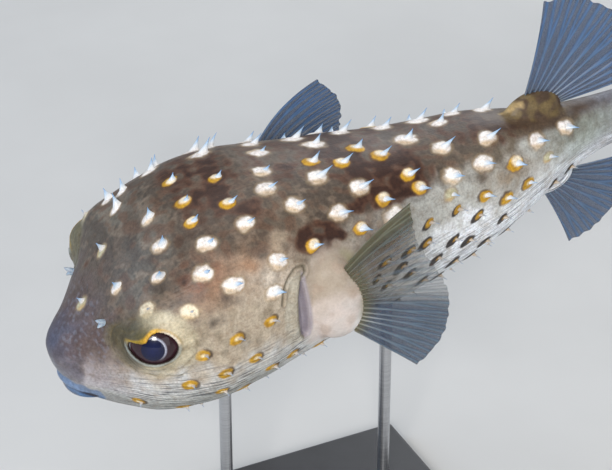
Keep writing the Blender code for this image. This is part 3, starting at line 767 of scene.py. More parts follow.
def make_skin(material):
    """Body, lips, lids and fin pads in one unbroken skin, with its markings."""
    runs = np.linspace(RUN[0], RUN[-1], BODY_RINGS)[1:]
    angles = np.linspace(0, 360, BODY_SIDES, endpoint=False)
    rings = skin(runs[:, None], angles[None, :])
    height = (rings[..., 2] - rings[..., 2].mean(1, keepdims=True)) / TAIL_END_HALF
    rings[..., 0] += step(TAIL_END_START, STATIONS[-1, 0], rings[..., 0]) * TAIL_END_BOW * (0.5 - height ** 2)
    body = ring_solid("skin", rings)
    added = []
    t = np.linspace(-1, 1, 48)
    for sign in (1, -1):
        added.append(tube("lip", lip_line(sign, t), LIP_RADIUS * (1 - 0.8 * np.abs(t) ** 3), 24))
    for side in (1, -1):
        added.append(ellipsoid("lid", eye_frame(side)[0], (EYE_RADIUS + LID_THICKNESS,) * 3))
        (x, y, z), halves = PECTORAL_PAD
        turn = Matrix.Rotation(math.radians(-PECTORAL_PAD_FLARE * side), 4, "Z")
        added.append(ellipsoid("pad", (x, -y * side, z), halves, turn))
    for (x, _, z), halves in (DORSAL_PAD, ANAL_PAD):
        added.append(ellipsoid("pad", on_midline(x, 0, z), halves))
    combine(body, added, "UNION")
    combine(body, [lid_cutter(1), lid_cutter(-1), gill_cutter(1), gill_cutter(-1)], "DIFFERENCE")
    with_modifier(body, "REMESH", mode="VOXEL", voxel_size=VOXEL)
    mesh = body.data
    relax(mesh, SMOOTHING_ROUNDS)
    blend_roots(mesh)
    mark_skin(mesh)
    put_in_place(body, "skin", material)
    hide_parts("head", "trunk", "tail_stem")


def make_nostrils(material):
    """A short pale tentacle over each nostril, forked into two lobes."""
    for count, (x, angle) in enumerate(NOSTRILS):
        run = run_at(x)
        foot, away = skin(run, angle), unit(outward(run, angle) + np.array((-0.4, 0, 0)))
        lobes = []
        t = np.linspace(0, 1, 16)
        for lean in (-0.55, 0.55):
            line = foot + np.outer(-1.5 + 4.0 * t, away) * MM
            line = line + np.outer(3.4 * t * t, (-0.25, 0, lean)) * MM
            radii = (1.15 - 0.60 * t + 0.30 * np.sin(np.pi * t)) * np.sqrt(1 - 0.96 * t ** 6) * MM
            lobes.append(tube("nasal_tentacle", line, radii, 20))
        combine(lobes[0], lobes[1:], "UNION")
        put_in_place(lobes[0], ("nasal_tentacle_left", "nasal_tentacle_right")[count], material)


def blend_roots(mesh):
    """Softens the folds where the fin pads and the brows meet the body."""
    points = coordinates(mesh)
    weight = np.zeros(len(points))
    spheres = [(PECTORAL_PAD, 1), (PECTORAL_PAD, -1), (DORSAL_PAD, 0), (ANAL_PAD, 0)]
    for ((x, y, z), halves), side in spheres:
        centre = on_midline(x, -y * side, z)
        away = np.linalg.norm((points - centre) / (np.array(halves) + 4 * MM), axis=1)
        weight = np.maximum(weight, step(1.25, 0.95, away))
    for side in (1, -1):
        centre, _, _, out = eye_frame(side)
        local = points - centre
        rise = local @ out
        wide = np.linalg.norm(local - rise[:, None] * out, axis=1)
        ring = step(10.5 * MM, 12.5 * MM, wide) * step(22 * MM, 17 * MM, wide) * (rise > 0)
        weight = np.maximum(weight, 0.8 * ring)
    run, angle = body_place(points)
    slit = (np.abs(X_AT(run) - GILL_X * MM) < 6 * MM) & (np.abs(np.abs(angle) - GILL_ANGLE) < 22)
    weight = np.where(slit, 0.0, weight)
    relax(mesh, ROOT_SMOOTHING_ROUNDS, weight)


def mix(paint, colour, amount):
    """Lays a colour over the paint, by an amount for each point."""
    amount = np.clip(amount, 0, 1)[:, None]
    paint += (np.asarray(colour) - paint) * amount


def paint_back(paint, x, turn, low, mid, fine, grain):
    """Mottled browns and greys of the back, darker before the eyes."""
    mix(paint, (0.185, 0.175, 0.145), spread(x, 40, 15, turn, 24, 24) * (0.75 + 0.5 * mid))
    mix(paint, (0.150, 0.118, 0.088), spread(x, 90, 26, turn, 20, 22) * (0.7 + 0.5 * mid))
    mix(paint, (0.200, 0.150, 0.110), step(0.0, 0.75, mid + 0.6 * fine + 0.35 * grain) * 0.65)
    mix(paint, (0.135, 0.066, 0.038), step(0.1, 0.8, fine - 0.7 * mid + 0.5 * low) * 0.5)
    mix(paint, (0.046, 0.032, 0.025), step(0.0, 0.75, -low - 0.7 * fine - 0.45 * grain) * 0.5)
    mix(paint, (0.060, 0.036, 0.024), spread(x, 60, 11, turn, 28, 9) * (0.7 + 0.6 * fine))
    mix(paint, (0.115, 0.088, 0.074), step(34, 16, x + 8 * mid) * step(60, 40, turn) * 0.75)
    mix(paint, (0.215, 0.185, 0.140), step(158, 205, x + 10 * low) * step(14, 34, turn) * 0.6)


def paint_flank(paint, x, turn, low, mid, fine, grain):
    """Cream cheek, grey flank and white belly, with the brown clouds that lie over them."""
    edge = 68 - 14 * step(100, 145, x) + 7 * step(60, 25, x)
    flank = step(-15, 12, turn - edge + 10 * low + 8 * mid + 5 * fine)
    mix(paint, (0.42, 0.35, 0.265), flank * step(150, 90, x))
    mix(paint, (0.43, 0.43, 0.40), flank * step(90, 150, x))
    mix(paint, (0.26, 0.215, 0.150), flank * step(0.0, 0.8, fine + 0.8 * mid) * step(165, 120, x) * 0.6)
    below = turn + 7 * mid + 4 * fine + 10 * step(120, 165, x) - 12 * step(105, 85, x) * step(32, 58, x)
    mix(paint, (0.63, 0.64, 0.64), step(82, 108, below) * 0.9)
    white = step(86, 108, below - 14 * step(172, 192, x) * step(225, 208, x))
    mix(paint, (0.86, 0.90, 0.96), white * step(135, 175, x) * 0.9)
    mix(paint, (0.28, 0.225, 0.165), spread(x, 196, 15, turn, 74, 15) * (0.75 + 0.4 * fine))
    mix(paint, (0.215, 0.150, 0.105), spread(x, 130, 11, turn, 80, 17) * (0.85 + 0.4 * fine))
    mix(paint, (0.60, 0.52, 0.43), spread(x, 80, 10, turn, 69, 9) * (0.85 + 0.3 * fine))
    mix(paint, (0.150, 0.052, 0.022), spread(x, 55, 9, turn, 52, 9) * (0.85 + 0.7 * fine + 0.3 * grain))
    mix(paint, (0.33, 0.185, 0.105), spread(x, 66, 18, turn, 60, 11) * (0.5 + 0.6 * mid))


def paint_patches(paint, x, turn, mid, fine, grain):
    """The dark saddles across the back, and the green-grey stem of the tail."""
    patches = dark_patches(x, turn) * (0.88 + 0.5 * mid + 0.42 * fine)
    mix(paint, (0.092, 0.038, 0.020), step(0.18, 0.52, patches) * 0.9)
    mix(paint, (0.036, 0.012, 0.006), step(0.40, 0.78, patches + 0.12 * grain) * 0.92)
    top = step(62, 26, turn + 8 * mid)
    mix(paint, (0.125, 0.120, 0.130), step(212, 238, x) * top * 0.8)
    mix(paint, (0.255, 0.290, 0.255), step(206, 236, x) * (1 - top) * step(118, 92, turn) * 0.8)
    mix(paint, (0.185, 0.195, 0.235), step(236, 254, x) * (0.35 + 0.3 * top))


def paint_snout(paint, x, turn, mid, fine, grain):
    """Freckled mauve-brown snout, its tip blued with painted cool light, over a chin and front belly greyed
    with painted shade, darkest under the chin.
    """
    snout = step(25, 9, x + 4 * mid) * step(102, 62, turn + 7 * mid)
    mix(paint, (0.110, 0.076, 0.076), snout * (0.85 + 0.15 * fine))
    mix(paint, (0.190, 0.195, 0.235), snout * step(0.15, 0.8, grain + 0.5 * fine) * 0.55)
    beside = step(58, 92, turn + 8 * mid) * step(140, 108, turn)
    mix(paint, (0.33, 0.30, 0.33), step(28, 9, x) * beside * 0.75)
    # Painted shade: the white of the front belly is greyed, and the chin is darker still underneath, where
    # less light falls.
    mix(paint, (0.38, 0.39, 0.37), step(96, 60, x) * step(104, 122, turn + 4 * mid) * step(2, 9, x) * 0.85)
    mix(paint, (0.20, 0.195, 0.20), step(22, 8, x) * step(2, 8, x) * step(112, 130, turn) * 0.7)
    # Painted cool light: the snout's tip and the top of its front are blued, as cool water light falls there.
    mix(paint, (0.092, 0.088, 0.120), step(9.0, 1.0, x + 3 * mid + 2 * fine) * 0.75)
    mix(paint, (0.066, 0.077, 0.130), step(13.0, 1.0, x + 3 * mid) * step(56, 4, turn + 9 * fine) * 0.55)


def mark_skin(mesh):
    """Paints the skin and raises its pads, folds and rims."""
    points = coordinates(mesh)
    normals = vertex_normals(mesh)
    run, angle = body_place(points)
    x = X_AT(run) / MM
    turn = np.abs(angle)
    low, mid, fine, grain = (waves(points, s * MM, k) for k, s in enumerate(MOTTLE_SIZES))

    paint = np.empty((len(points), 3))
    paint[:] = BACK_BROWN
    paint_back(paint, x, turn, low, mid, fine, grain)
    paint_flank(paint, x, turn, low, mid, fine, grain)
    paint_patches(paint, x, turn, mid, fine, grain)
    paint_snout(paint, x, turn, mid, fine, grain)
    smooth = paint_fin_pads(paint, points, mid, fine)
    rise = paint_spots(paint, points, fine, grain, smooth)
    rise += paint_eyes(paint, points, mid, fine)
    paint_mouth(paint, points, fine)
    rise += paint_gill(paint, points, run, angle, fine)

    set_coordinates(mesh, points + normals * rise[:, None])
    add_colour(mesh, "paint", np.clip(paint, 0, 1))
    add_vector(mesh, "flow", np.stack([run, flow_place(x, angle), 0 * run], -1))
    wrinkle = np.maximum(step(82, 108, turn + 5 * mid - 9 * step(100, 80, x) * step(32, 58, x)), 0.10)
    wrinkle *= step(4, 18, x)
    near_eye = step(18, 14, eye_distance(points) / MM)
    add_value(mesh, "wrinkle", wrinkle * (1 - 0.9 * near_eye) * (1 - smooth))
    add_value(mesh, "calm", smooth)


def paint_fin_pads(paint, points, mid, fine):
    """Pale fleshy pads at the pectoral fins and a brown one under the dorsal fin."""
    (x, y, z), halves = PECTORAL_PAD
    smooth = np.zeros(len(points))
    for side in (1, -1):
        local = points - np.array((x, -y * side, z))
        away = np.linalg.norm(local / np.array(halves), axis=1)
        mask = step(1.45, 0.98, away + 0.1 * fine)
        mix(paint, (0.62, 0.535, 0.49), mask * (0.85 + 0.25 * mid))
        mix(paint, (0.34, 0.275, 0.200), mask * step(1 * MM, 11 * MM, local[:, 2] + 3 * MM * mid) * 0.8)
        mix(paint, (0.40, 0.30, 0.23), mask * step(0.15, 0.75, mid + 0.5 * fine) * 0.45)
        corner = step(-5 * MM, -14 * MM, local[:, 2]) * step(1 * MM, 8 * MM, local[:, 0])
        mix(paint, (0.88, 0.88, 0.88), mask * corner * 0.85)
        # Painted shade: a dark olive band along the rear of each pad, where the fin's root meets it.
        rear = step(6.5 * MM, 11 * MM, local[:, 0] + 1.5 * MM * fine) * step(1.35, 1.05, away)
        mix(paint, (0.30, 0.28, 0.155), rear * step(-14 * MM, -5 * MM, local[:, 2]) * 0.75)
        smooth = np.maximum(smooth, step(1.5, 1.1, away))
    (x, _, z), halves = DORSAL_PAD
    centre = on_midline(x, 0, z)
    away = np.linalg.norm((points - centre) / (np.array(halves) + 2.5 * MM), axis=1)
    mix(paint, (0.078, 0.046, 0.024), step(2.3, 0.9, away + 0.35 * fine + 0.25 * mid) * 0.85)
    mix(paint, (0.170, 0.120, 0.046), step(1.25, 0.7, away) * step(-0.5, 0.8, fine + mid) * 0.8)
    gold = np.linalg.norm(points - centre - np.array((-9.5, 0, 5.5)) * MM, axis=1) / MM
    mix(paint, (0.60, 0.44, 0.20), step(5.0, 1.0, gold + 2.4 * fine + 1.2 * mid) * 0.75)
    return smooth


def thorn_frame(x, angle):
    """Foot, outward, back and side directions of a thorn; the side direction points to the belly."""
    run = run_at(x)
    foot, out = skin(run, angle), outward(run, angle)
    back = unit(np.array((1.0, 0, 0)) - out * out[0])
    belly = np.cross(back, out)
    return foot, out, back, belly if angle > 0 else -belly


def paint_spots(paint, points, fine, grain, fin_pads):
    """A raised pad or an eyespot round the foot of every thorn, but not over the pads of the fins."""
    rise = np.zeros(len(points))
    draw = random.Random(SPINE_SEED + 1)
    for angle, x in spine_places():
        foot, out, back, belly = thorn_frame(x, angle)
        kind = spot_kind(x / MM, angle)
        length, width, height = PAD_SIZES[kind]
        size = draw.uniform(0.86, 1.08)
        slant = draw.uniform(-0.25, 0.25) - (0.42 if kind == "eyespot" else 0)
        if kind in ("white", "yellow"):
            size *= np.interp(x / MM, *PAD_GROWTH)
        centre = foot - back * (EYESPOT_BACK if kind == "eyespot" else PAD_BACK)
        near = np.flatnonzero(np.abs(points - centre).max(1) < PAD_REACH)
        local = points[near] - centre
        along, across = local @ back, local @ belly
        forward = (along + slant * across) / (length * size * MM)
        sideways = (across - slant * along) / (width * size * MM)
        away = np.hypot(forward, sideways) + 0.12 * fine[near] + 0.07 * grain[near]
        away += np.where(np.abs(local @ out) > 6 * MM, 9, 0) + 2 * step(0.3, 0.7, fin_pads[near])
        part = paint[near]
        if kind in PLAIN_PADS:
            mix(part, (0.34, 0.25, 0.15), step(1.35, 0.95, away) * 0.6)
            mix(part, PLAIN_PADS[kind], step(1.05, 0.70, away))
            # Painted shadow: amber along the lower front edge of each plain pad, below its raised dome.
            under = step(0.2, 0.75, sideways - 0.5 * forward)
            mix(part, (0.50, 0.32, 0.12), step(1.08, 0.7, away) * under * 0.7)
        elif kind == "yellow":
            mix(part, (0.13, 0.055, 0.010), step(1.3, 0.95, away) * 0.6)
            mix(part, (0.55, 0.30, 0.015), step(1.05, 0.82, away))
            mix(part, (0.88, 0.78, 0.60), step(0.85, 0.40, np.hypot(forward - 0.20, sideways + 0.25)))
        elif kind == "eyespot":
            gold = 0.95 if abs(angle) < 84 else 0.78 if abs(angle) < 94 else 0.52
            mix(part, (0.018, 0.010, 0.008), step(1.15, 0.92, away) * 0.97)
            mix(part, (0.44, 0.24, 0.015), step(gold, gold - 0.35, np.hypot(forward - 0.25, sideways - 0.15)))
        else:
            lower = step(-0.2, 0.6, forward) if kind == "cheek" else step(0.3, -0.5, forward + sideways)
            mix(part, (0.06, 0.030, 0.012), step(1.2, 0.95, away) * lower * 0.85)
            ring = step(0.98, 0.60, away * (0.6 + 0.4 * lower))
            mix(part, (0.50, 0.275, 0.012), step(1.02, 0.75, away) * ring)
            mix(part, (0.85, 0.75, 0.50), step(0.42, 0.15, np.hypot(forward, sideways + 0.1)) * 0.8)
        paint[near] = part
        rise[near] = np.maximum(rise[near], height * MM * step(1.15, 0.1, away))
    return rise


def eye_distance(points):
    """Distance to the nearer eye."""
    return np.min([np.linalg.norm(points - eye_frame(side)[0], axis=1) for side in (1, -1)], axis=0)


def paint_eyes(paint, points, mid, fine):
    """The sockets: folded skin round each eye with painted shade in its folds, dark olive before it partly as
    painted shade, cream behind, and the lids' rims with painted shade along their edge.
    """
    rise = np.zeros(len(points))
    for side in (1, -1):
        centre, along, up, out = eye_frame(side)
        local = points - centre
        u, v, w = local @ along, local @ up, local @ out
        turn = np.arctan2(v, u)
        degrees = np.degrees(turn)
        past = (np.hypot(u, v) - lid_radius(degrees)) / MM
        here = step(-5 * MM, -2 * MM, w) * step(14, 11, past)
        rear, front = step(-0.2, 0.7, np.cos(turn)), step(0.15, 0.8, -np.cos(turn))
        above = step(-0.1, 0.5, np.sin(turn))
        ring = step(11, 4, past + 2.0 * mid + fine) * here
        mix(paint, (0.46, 0.41, 0.29), ring * (0.85 - 0.35 * front))
        mix(paint, (0.62, 0.54, 0.38), ring * rear * step(0.3, 1.0, above + 0.5) * 0.7)
        # Dark olive before the eye: partly the skin's own colour, partly painted shade in the front of the
        # socket.
        mix(paint, (0.066, 0.055, 0.028), front * step(12, 6, past + mid) * here * 0.9)
        peak = bell(degrees - 122, 34)
        mix(paint, (0.085, 0.072, 0.020), peak * step(9.5, 3, past + 1.5 * mid) * here * 0.95)
        if side < 0:
            mix(paint, (0.23, 0.215, 0.150), front * step(12, 4, past) * here * 0.5)
        mix(paint, (0.60, 0.545, 0.40), ring * bell(degrees - 78, 26) * step(2.5, 5, past) * 0.6)
        fold = 0.0
        for place, depth, towards, reach in EYE_FOLDS:
            away = np.abs((degrees - towards + 180) % 360 - 180)
            line = place + 0.9 * mid + 0.3 * np.sin(2 * turn + place)
            groove = bell(past - line, 0.5) * step(reach, reach * 0.5, away)
            groove = groove * (0.75 + 0.6 * fine)
            fold = fold - depth * groove
            # Painted shade in the fold's groove.
            mix(paint, (0.150, 0.120, 0.060), groove * here * 0.6)
        fold = fold + 0.35 * step(3.4, 0.8, past) * above
        rise += fold * here * (past > 0.2) * MM
        lower_rim = step(2.0, 0.9, past) * step(-0.1, 0.15, past) * (1 - above)
        mix(paint, (0.33, 0.37, 0.34), lower_rim * here * 0.85)
        rim = step(2.5, 1.2, past) * above * here
        mix(paint, (0.60, 0.34, 0.018), rim * (0.5 + 0.5 * step(0.9, 0.2, np.cos(turn))))
        mix(paint, (0.22, 0.17, 0.020), rim * step(0.55, 0.9, -np.cos(turn)) * 0.8)
        pale = step(1.7, 0.8, past) * above * here * step(0.15, 0.75, np.cos(turn))
        mix(paint, (0.80, 0.76, 0.66), pale * 0.85)
        # Painted shade: near black along the lids' edge, where they meet the eyeball.
        mix(paint, (0.030, 0.018, 0.014), step(0.55, 0.1, past) * here)
    return rise


def paint_mouth(paint, points, fine):
    """Blue lips, the upper one paler, with painted shade along the seam between them."""
    t = np.linspace(-1, 1, 40)
    near = np.flatnonzero(points[:, 0] < 20 * MM)
    part = paint[near]
    for line, colour, reach in (
        (lip_line(1, t), (0.155, 0.225, 0.36), 5.4), (lip_line(-1, t), (0.070, 0.15, 0.30), 3.4),
    ):
        gap = distance_to_line(points[near], line) + 0.6 * MM * fine[near]
        mix(part, colour, step(reach * MM, (reach - 1.6) * MM, gap))
    # Painted shade along the seam where the lips meet.
    seam = distance_to_line(points[near], lip_line(0, t))
    mix(part, (0.018, 0.018, 0.035), step(1.9 * MM, 0.8 * MM, seam))
    paint[near] = part


def paint_gill(paint, points, run, angle, fine):
    """The gill slit: purple-grey painted shade on its walls, darker deep inside, with a raised flap and a
    hooked fold before it whose groove holds painted shade.
    """
    rise = np.zeros(len(points))
    rows = np.array(GILL_SLIT, float)
    turn, x = np.abs(angle), X_AT(run) / MM
    front, rear = (Curve(rows[:, 0], rows[:, k])(turn) for k in (1, 2))
    here = step(74, 77, turn) * step(114, 111, turn)
    proud = np.einsum("ij,ij->i", points - skin(run, angle), outward(run, angle)) / MM
    near = (np.abs(x - GILL_X) < 12) & (turn > 64) & (turn < 118)
    flap = step(-7.5, -5.5, x - front) * step(0.5, -0.3, x - front) * here
    mix(paint, (0.46, 0.43, 0.35), flap * 0.65)
    mix(paint, (0.17, 0.15, 0.105), bell(x - front + 0.3, 0.55) * here * 0.8)
    # Painted shade: purple-grey over the slit's walls, and darker where the skin lies deep inside it.
    shade = step(-0.2, 0.4, x - front) * step(1.6, 0.2, x - rear) * here
    mix(paint, (0.36, 0.32, 0.35), shade * 0.9)
    mix(paint, (0.27, 0.24, 0.275), step(-0.8, -1.9, proud) * near * here)
    rise += 0.6 * bell(x - front + 2.2, 1.9) * here * step(-0.9, -0.3, proud)
    for side in (1, -1):
        places = np.array(GILL_FOLD)
        t = np.linspace(0, len(places) - 1, 60)
        along = Curve(np.arange(len(places)), places[:, 0])(t) * MM
        around = Curve(np.arange(len(places)), places[:, 1])(t) * side
        line = skin(run_at(along), around)
        own = np.flatnonzero(near & (points[:, 1] * side < 0))
        gap = distance_to_line(points[own], line) / MM
        groove = bell(gap + 0.15 * fine[own], 0.55)
        part = paint[own]
        # Painted shade in the fold's groove.
        mix(part, (0.115, 0.098, 0.062), groove * 0.9)
        paint[own] = part
        rise[own] += 0.45 * bell(gap - 1.3, 0.7) - 0.5 * groove
    return rise * MM


def thorn_lean(x, angle):
    """Height of a thorn, and how far it leans back and to the belly as shares of that height."""
    turn = abs(angle)
    low = step(72, 92, turn)
    flat = step(118, 108, x) * step(44, 56, x) * step(-14, -8, angle) * step(70, 60, angle)
    height = SPINE_HEIGHT + (BELLY_SPINE_HEIGHT - SPINE_HEIGHT) * low
    height *= (1 - 0.45 * flat) * (1 - 0.12 * step(100, 130, x)) * (1 - 0.24 * (1 - low))
    sweep = 0.4 + 0.45 * step(10, 16, turn) * step(46, 32, turn) + 0.35 * flat
    sweep *= np.interp(x, (20, 45, 90), (0.1, 0.6, 1.0))
    droop = 0.5 * step(34, 46, turn) * step(84, 66, turn) * step(88, 140, x)
    return height, sweep, droop


def make_spines(material):
    """Every thorn, swept back from its pad, white at the foot and clear blue at the tip."""
    draw = random.Random(SPINE_SEED)
    vertices, faces, tips, amber = [], [], [], []
    sides, levels = SPINE_SIDES, SPINE_LEVELS
    turn = np.linspace(0, 2 * np.pi, sides, endpoint=False)
    for angle, x in spine_places():
        foot, out, back, belly = thorn_frame(x, angle)
        height, sweep, droop = thorn_lean(x / MM, angle)
        kind = spot_kind(x / MM, angle)
        tall, stout, warm = SMALL_THORNS.get(kind, (1.0, 1.0, 0.0))
        height *= draw.uniform(0.86, 1.14) * tall
        girth = draw.uniform(0.9, 1.1) * stout
        start = len(vertices)
        for k in range(levels):
            t = k / (levels - 1)
            level = -SPINE_ROOT + (height + SPINE_ROOT) * t
            up = max(level, 0) / height
            middle = foot + out * level + back * (height * sweep * up - 0.6 * MM * (1 - t))
            middle = middle + belly * (height * droop * up)
            long_half = SPINE_HALF_LENGTH * girth * ((1 - t) ** 1.5 + 0.03)
            wide_half = SPINE_HALF_WIDTH * girth * ((1 - t) ** 1.4 + 0.04)
            ring = middle + np.outer(np.cos(turn), back) * long_half
            vertices.extend(ring + np.outer(np.sin(turn), belly) * wide_half)
            tips.extend([t] * sides)
            amber.extend([warm] * sides)
        faces.extend(grid_faces(levels, sides, start=start))
        faces.append(tuple(start + j for j in range(sides))[::-1])
        faces.append(tuple(start + (levels - 1) * sides + j for j in range(sides)))
    made = new_object("spines", vertices, faces)
    face_out(made)
    add_value(made.data, "tip", tips)
    add_value(made.data, "amber", amber)
    put_in_place(made, "spines", material)


def make_eye(side, name, node, material):
    """An eyeball with a slight bulge over its pupil."""
    centre, along, up, out = eye_frame(side)
    frame = Matrix([list(along) + [0], list(up) + [0], list(out) + [0], [0, 0, 0, 1]]).transposed()
    made = ellipsoid(name, centre, (EYE_RADIUS,) * 3, frame, 128, 96)
    local = (coordinates(made.data) - centre) / EYE_RADIUS
    bulge = 1 + 0.012 * step(0.72, 0.95, local @ out)
    set_coordinates(made.data, centre + local * EYE_RADIUS * bulge[:, None])
    add_vector(made.data, "gaze", np.stack([local @ along, local @ up, local @ out], -1))
    face_out(made)
    put_in_place(made, name, material)
    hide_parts(node)


def blend(values, t):
    """Values read smoothly along a list that is spaced evenly from 0 to 1."""
    values = np.asarray(values, float)
    places = np.linspace(0, 1, len(values))
    if values.ndim == 1:
        return Curve(places, values)(t)
    return np.stack([Curve(places, values[:, k])(t) for k in range(values.shape[1])], -1)


def fin_surface(fin, t, r):
    """Points of a fin: t runs from its first ray to its last, r from root to margin."""
    root, direction = blend(fin["root"], t), unit(blend(fin["directions"], t))
    length = blend(fin["lengths"], t)[..., None]
    r = np.asarray(r)[..., None]
    return root + direction * length * r + blend(fin["bow"], t) * length * (r * r - r)


def ray_field(t, r, rays):
    """Height of the rays' ridges: each ray forks past its middle."""
    place = t * (rays - 1)
    fork = 0.23 * step(0.40, 0.95, r)
    width = 0.150 - 0.055 * r
    off = place - np.round(place)
    return np.maximum(bell(off - fork, width), bell(off + fork, width))


def make_fin(name, fin, tint, material):
    """A thin membrane with forked rays, closed round its margin."""
    rays = fin["rays"]
    columns, rows = (rays - 1) * COLUMNS_PER_RAY + 1, FIN_ROWS
    t, r = np.meshgrid(np.linspace(0, 1, columns), np.linspace(0, 1, rows), indexing="ij")
    bend = t + 0.012 * np.sin(t * 23 + 2.2 * r) * np.sin(np.pi * t)
    ridge = ray_field(bend, r, rays)
    between = 1 - ray_field(bend[:, -1], 0 * r[:, -1] + 0.6, rays)
    notch = 0.007 * between + 0.010 * np.sin(t[:, -1] * 37) ** 2
    reach = r * (1 - notch[:, None])
    middle = fin_surface(fin, t, reach)
    d = 1e-3
    across = fin_surface(fin, np.minimum(t + d, 1), reach) - fin_surface(fin, np.maximum(t - d, 0), reach)
    along = fin_surface(fin, t, reach + d) - fin_surface(fin, t, reach - d)
    normal = unit(np.cross(across, along))
    thick = MEMBRANE + (RAY_THICKNESS - RAY_TAPER * r) * ridge
    ripple = FIN_RIPPLE * np.sin(2 * np.pi * t * (rays - 1)) * r
    middle = middle + normal * ripple[..., None]
    front, rear = middle + normal * thick[..., None] / 2, middle - normal * thick[..., None] / 2
    vertices = np.concatenate([front.reshape(-1, 3), rear.reshape(-1, 3)])
    half = columns * rows
    faces = []
    for i in range(columns - 1):
        for k in range(rows - 1):
            a, b = i * rows + k, (i + 1) * rows + k
            faces.append((a, b, b + 1, a + 1))
            faces.append((a + half + 1, b + half + 1, b + half, a + half))
    rim = [i * rows for i in range(columns)] + [(columns - 1) * rows + k for k in range(1, rows)]
    rim += [i * rows + rows - 1 for i in range(columns - 2, -1, -1)] + list(range(rows - 2, 0, -1))
    for a, b in zip(rim, rim[1:] + rim[:1]):
        faces.append((a, a + half, b + half, b))
    made = new_object(name, vertices, faces)
    face_out(made)
    near_pectoral = float(tint > 0.9)
    olive = step(0.25, 0.0, r) * 0.5 + near_pectoral * 0.5 * step(0.25, 0.0, r)
    olive = np.maximum(olive, near_pectoral * step(0.20, 0.05, t))
    clear = near_pectoral * step(0.06, 0.18, t) * step(0.66, 0.46, t)
    looks = {"ray": ridge, "reach": r, "olive": olive, "clear": clear, "tint": np.full(t.shape, tint)}
    for attribute, values in looks.items():
        add_value(made.data, attribute, np.tile(values.ravel(), 2))
    put_in_place(made, name, material)
    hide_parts(name.replace("visible_", ""))


def mirrored(points, side):
    """Points for the left side (1) or the right side (-1)."""
    return [(p[0], -p[1] * side, p[2]) for p in points]


def pectoral(side):
    """Pectoral fin: root points from the top down, the rays' directions and their lengths."""
    root = [tuple(v * MM for v in p) for p in ((109, 44, 15.5), (113.5, 45.5, -0.5), (108.5, 43, -16.5))]
    if side > 0:
        directions = (
            (0.39, 0.55, 0.74), (0.36, 0.65, 0.64), (0.52, 0.74, 0.40), (0.72, 0.68, 0.08),
            (0.74, 0.60, -0.24), (0.62, 0.48, -0.62),
        )
        bow = ((0.02, 0.16, 0.05), (0.0, 0.10, 0.0), (0.0, 0.10, 0.0), (0.0, 0.08, 0.0))
        lengths = [v * MM for v in (52, 46, 41, 36, 34, 29)]
    else:
        directions = (
            (0.89, 0.25, 0.38), (0.93, 0.22, 0.22), (0.94, 0.30, 0.05), (0.90, 0.38, -0.12),
            (0.82, 0.42, -0.36), (0.68, 0.42, -0.60),
        )
        bow = ((0.12, -0.20, -0.24), (0.06, -0.16, -0.10), (0.0, -0.14, 0.0), (0.0, -0.08, 0.0))
        lengths = [v * MM for v in (47, 50, 48, 44, 40, 34)]
    return {
        "root": mirrored(root, side),
        "directions": mirrored(directions, side),
        "bow": mirrored(bow, side),
        "lengths": lengths,
        "rays": 19,
    }


def midline(x, z):
    """A place on the middle of the body, from millimetres."""
    return on_midline(x * MM, 0, z * MM)


def median_fin(start, end, directions, lengths, rays, bow):
    """A fin that stands on the body's midline."""
    return {
        "root": [start, (start + end) / 2, end],
        "directions": directions,
        "lengths": [v * MM for v in lengths],
        "bow": bow,
        "rays": rays,
    }


def make_fins(material):
    """The two pectoral fins and the three on the midline."""
    make_fin("visible_pectoral_fin_left", pectoral(1), 1.0, material)
    make_fin("visible_pectoral_fin_right", pectoral(-1), 0.1, material)
    make_fin("visible_dorsal_fin", median_fin(
        midline(215, 22.5), midline(230, 17.5),
        ((0.36, 0.02, 0.93), (0.68, -0.06, 0.72), (0.90, -0.16, 0.38), (0.97, -0.26, 0.10)),
        (46, 50, 50, 46, 38), 12,
        ((-0.10, 0.0, 0.06), (0.0, 0.04, 0.0), (0.0, 0.06, 0.0)),
    ), 0.25, material)
    make_fin("visible_anal_fin", median_fin(
        midline(218, -20.5), midline(233, -17),
        ((0.30, 0.06, -0.95), (0.62, 0.08, -0.78), (0.86, 0.08, -0.50), (0.97, 0.06, -0.22)),
        (38, 42, 42, 38, 32), 11,
        ((-0.08, 0.0, -0.05), (0.0, 0.05, 0.0), (0.0, 0.05, 0.0)),
    ), 0.5, material)
    make_fin("visible_caudal_fin", median_fin(
        midline(266, 11), midline(266, -10),
        ((0.93, -0.14, 0.36), (0.99, -0.14, 0.0), (0.93, -0.14, -0.36)),
        (49, 54, 56, 54, 49), 9,
        ((0.0, 0.10, 0.10), (0.0, 0.10, 0.0), (0.0, 0.10, -0.10)),
    ), 0.5, material)


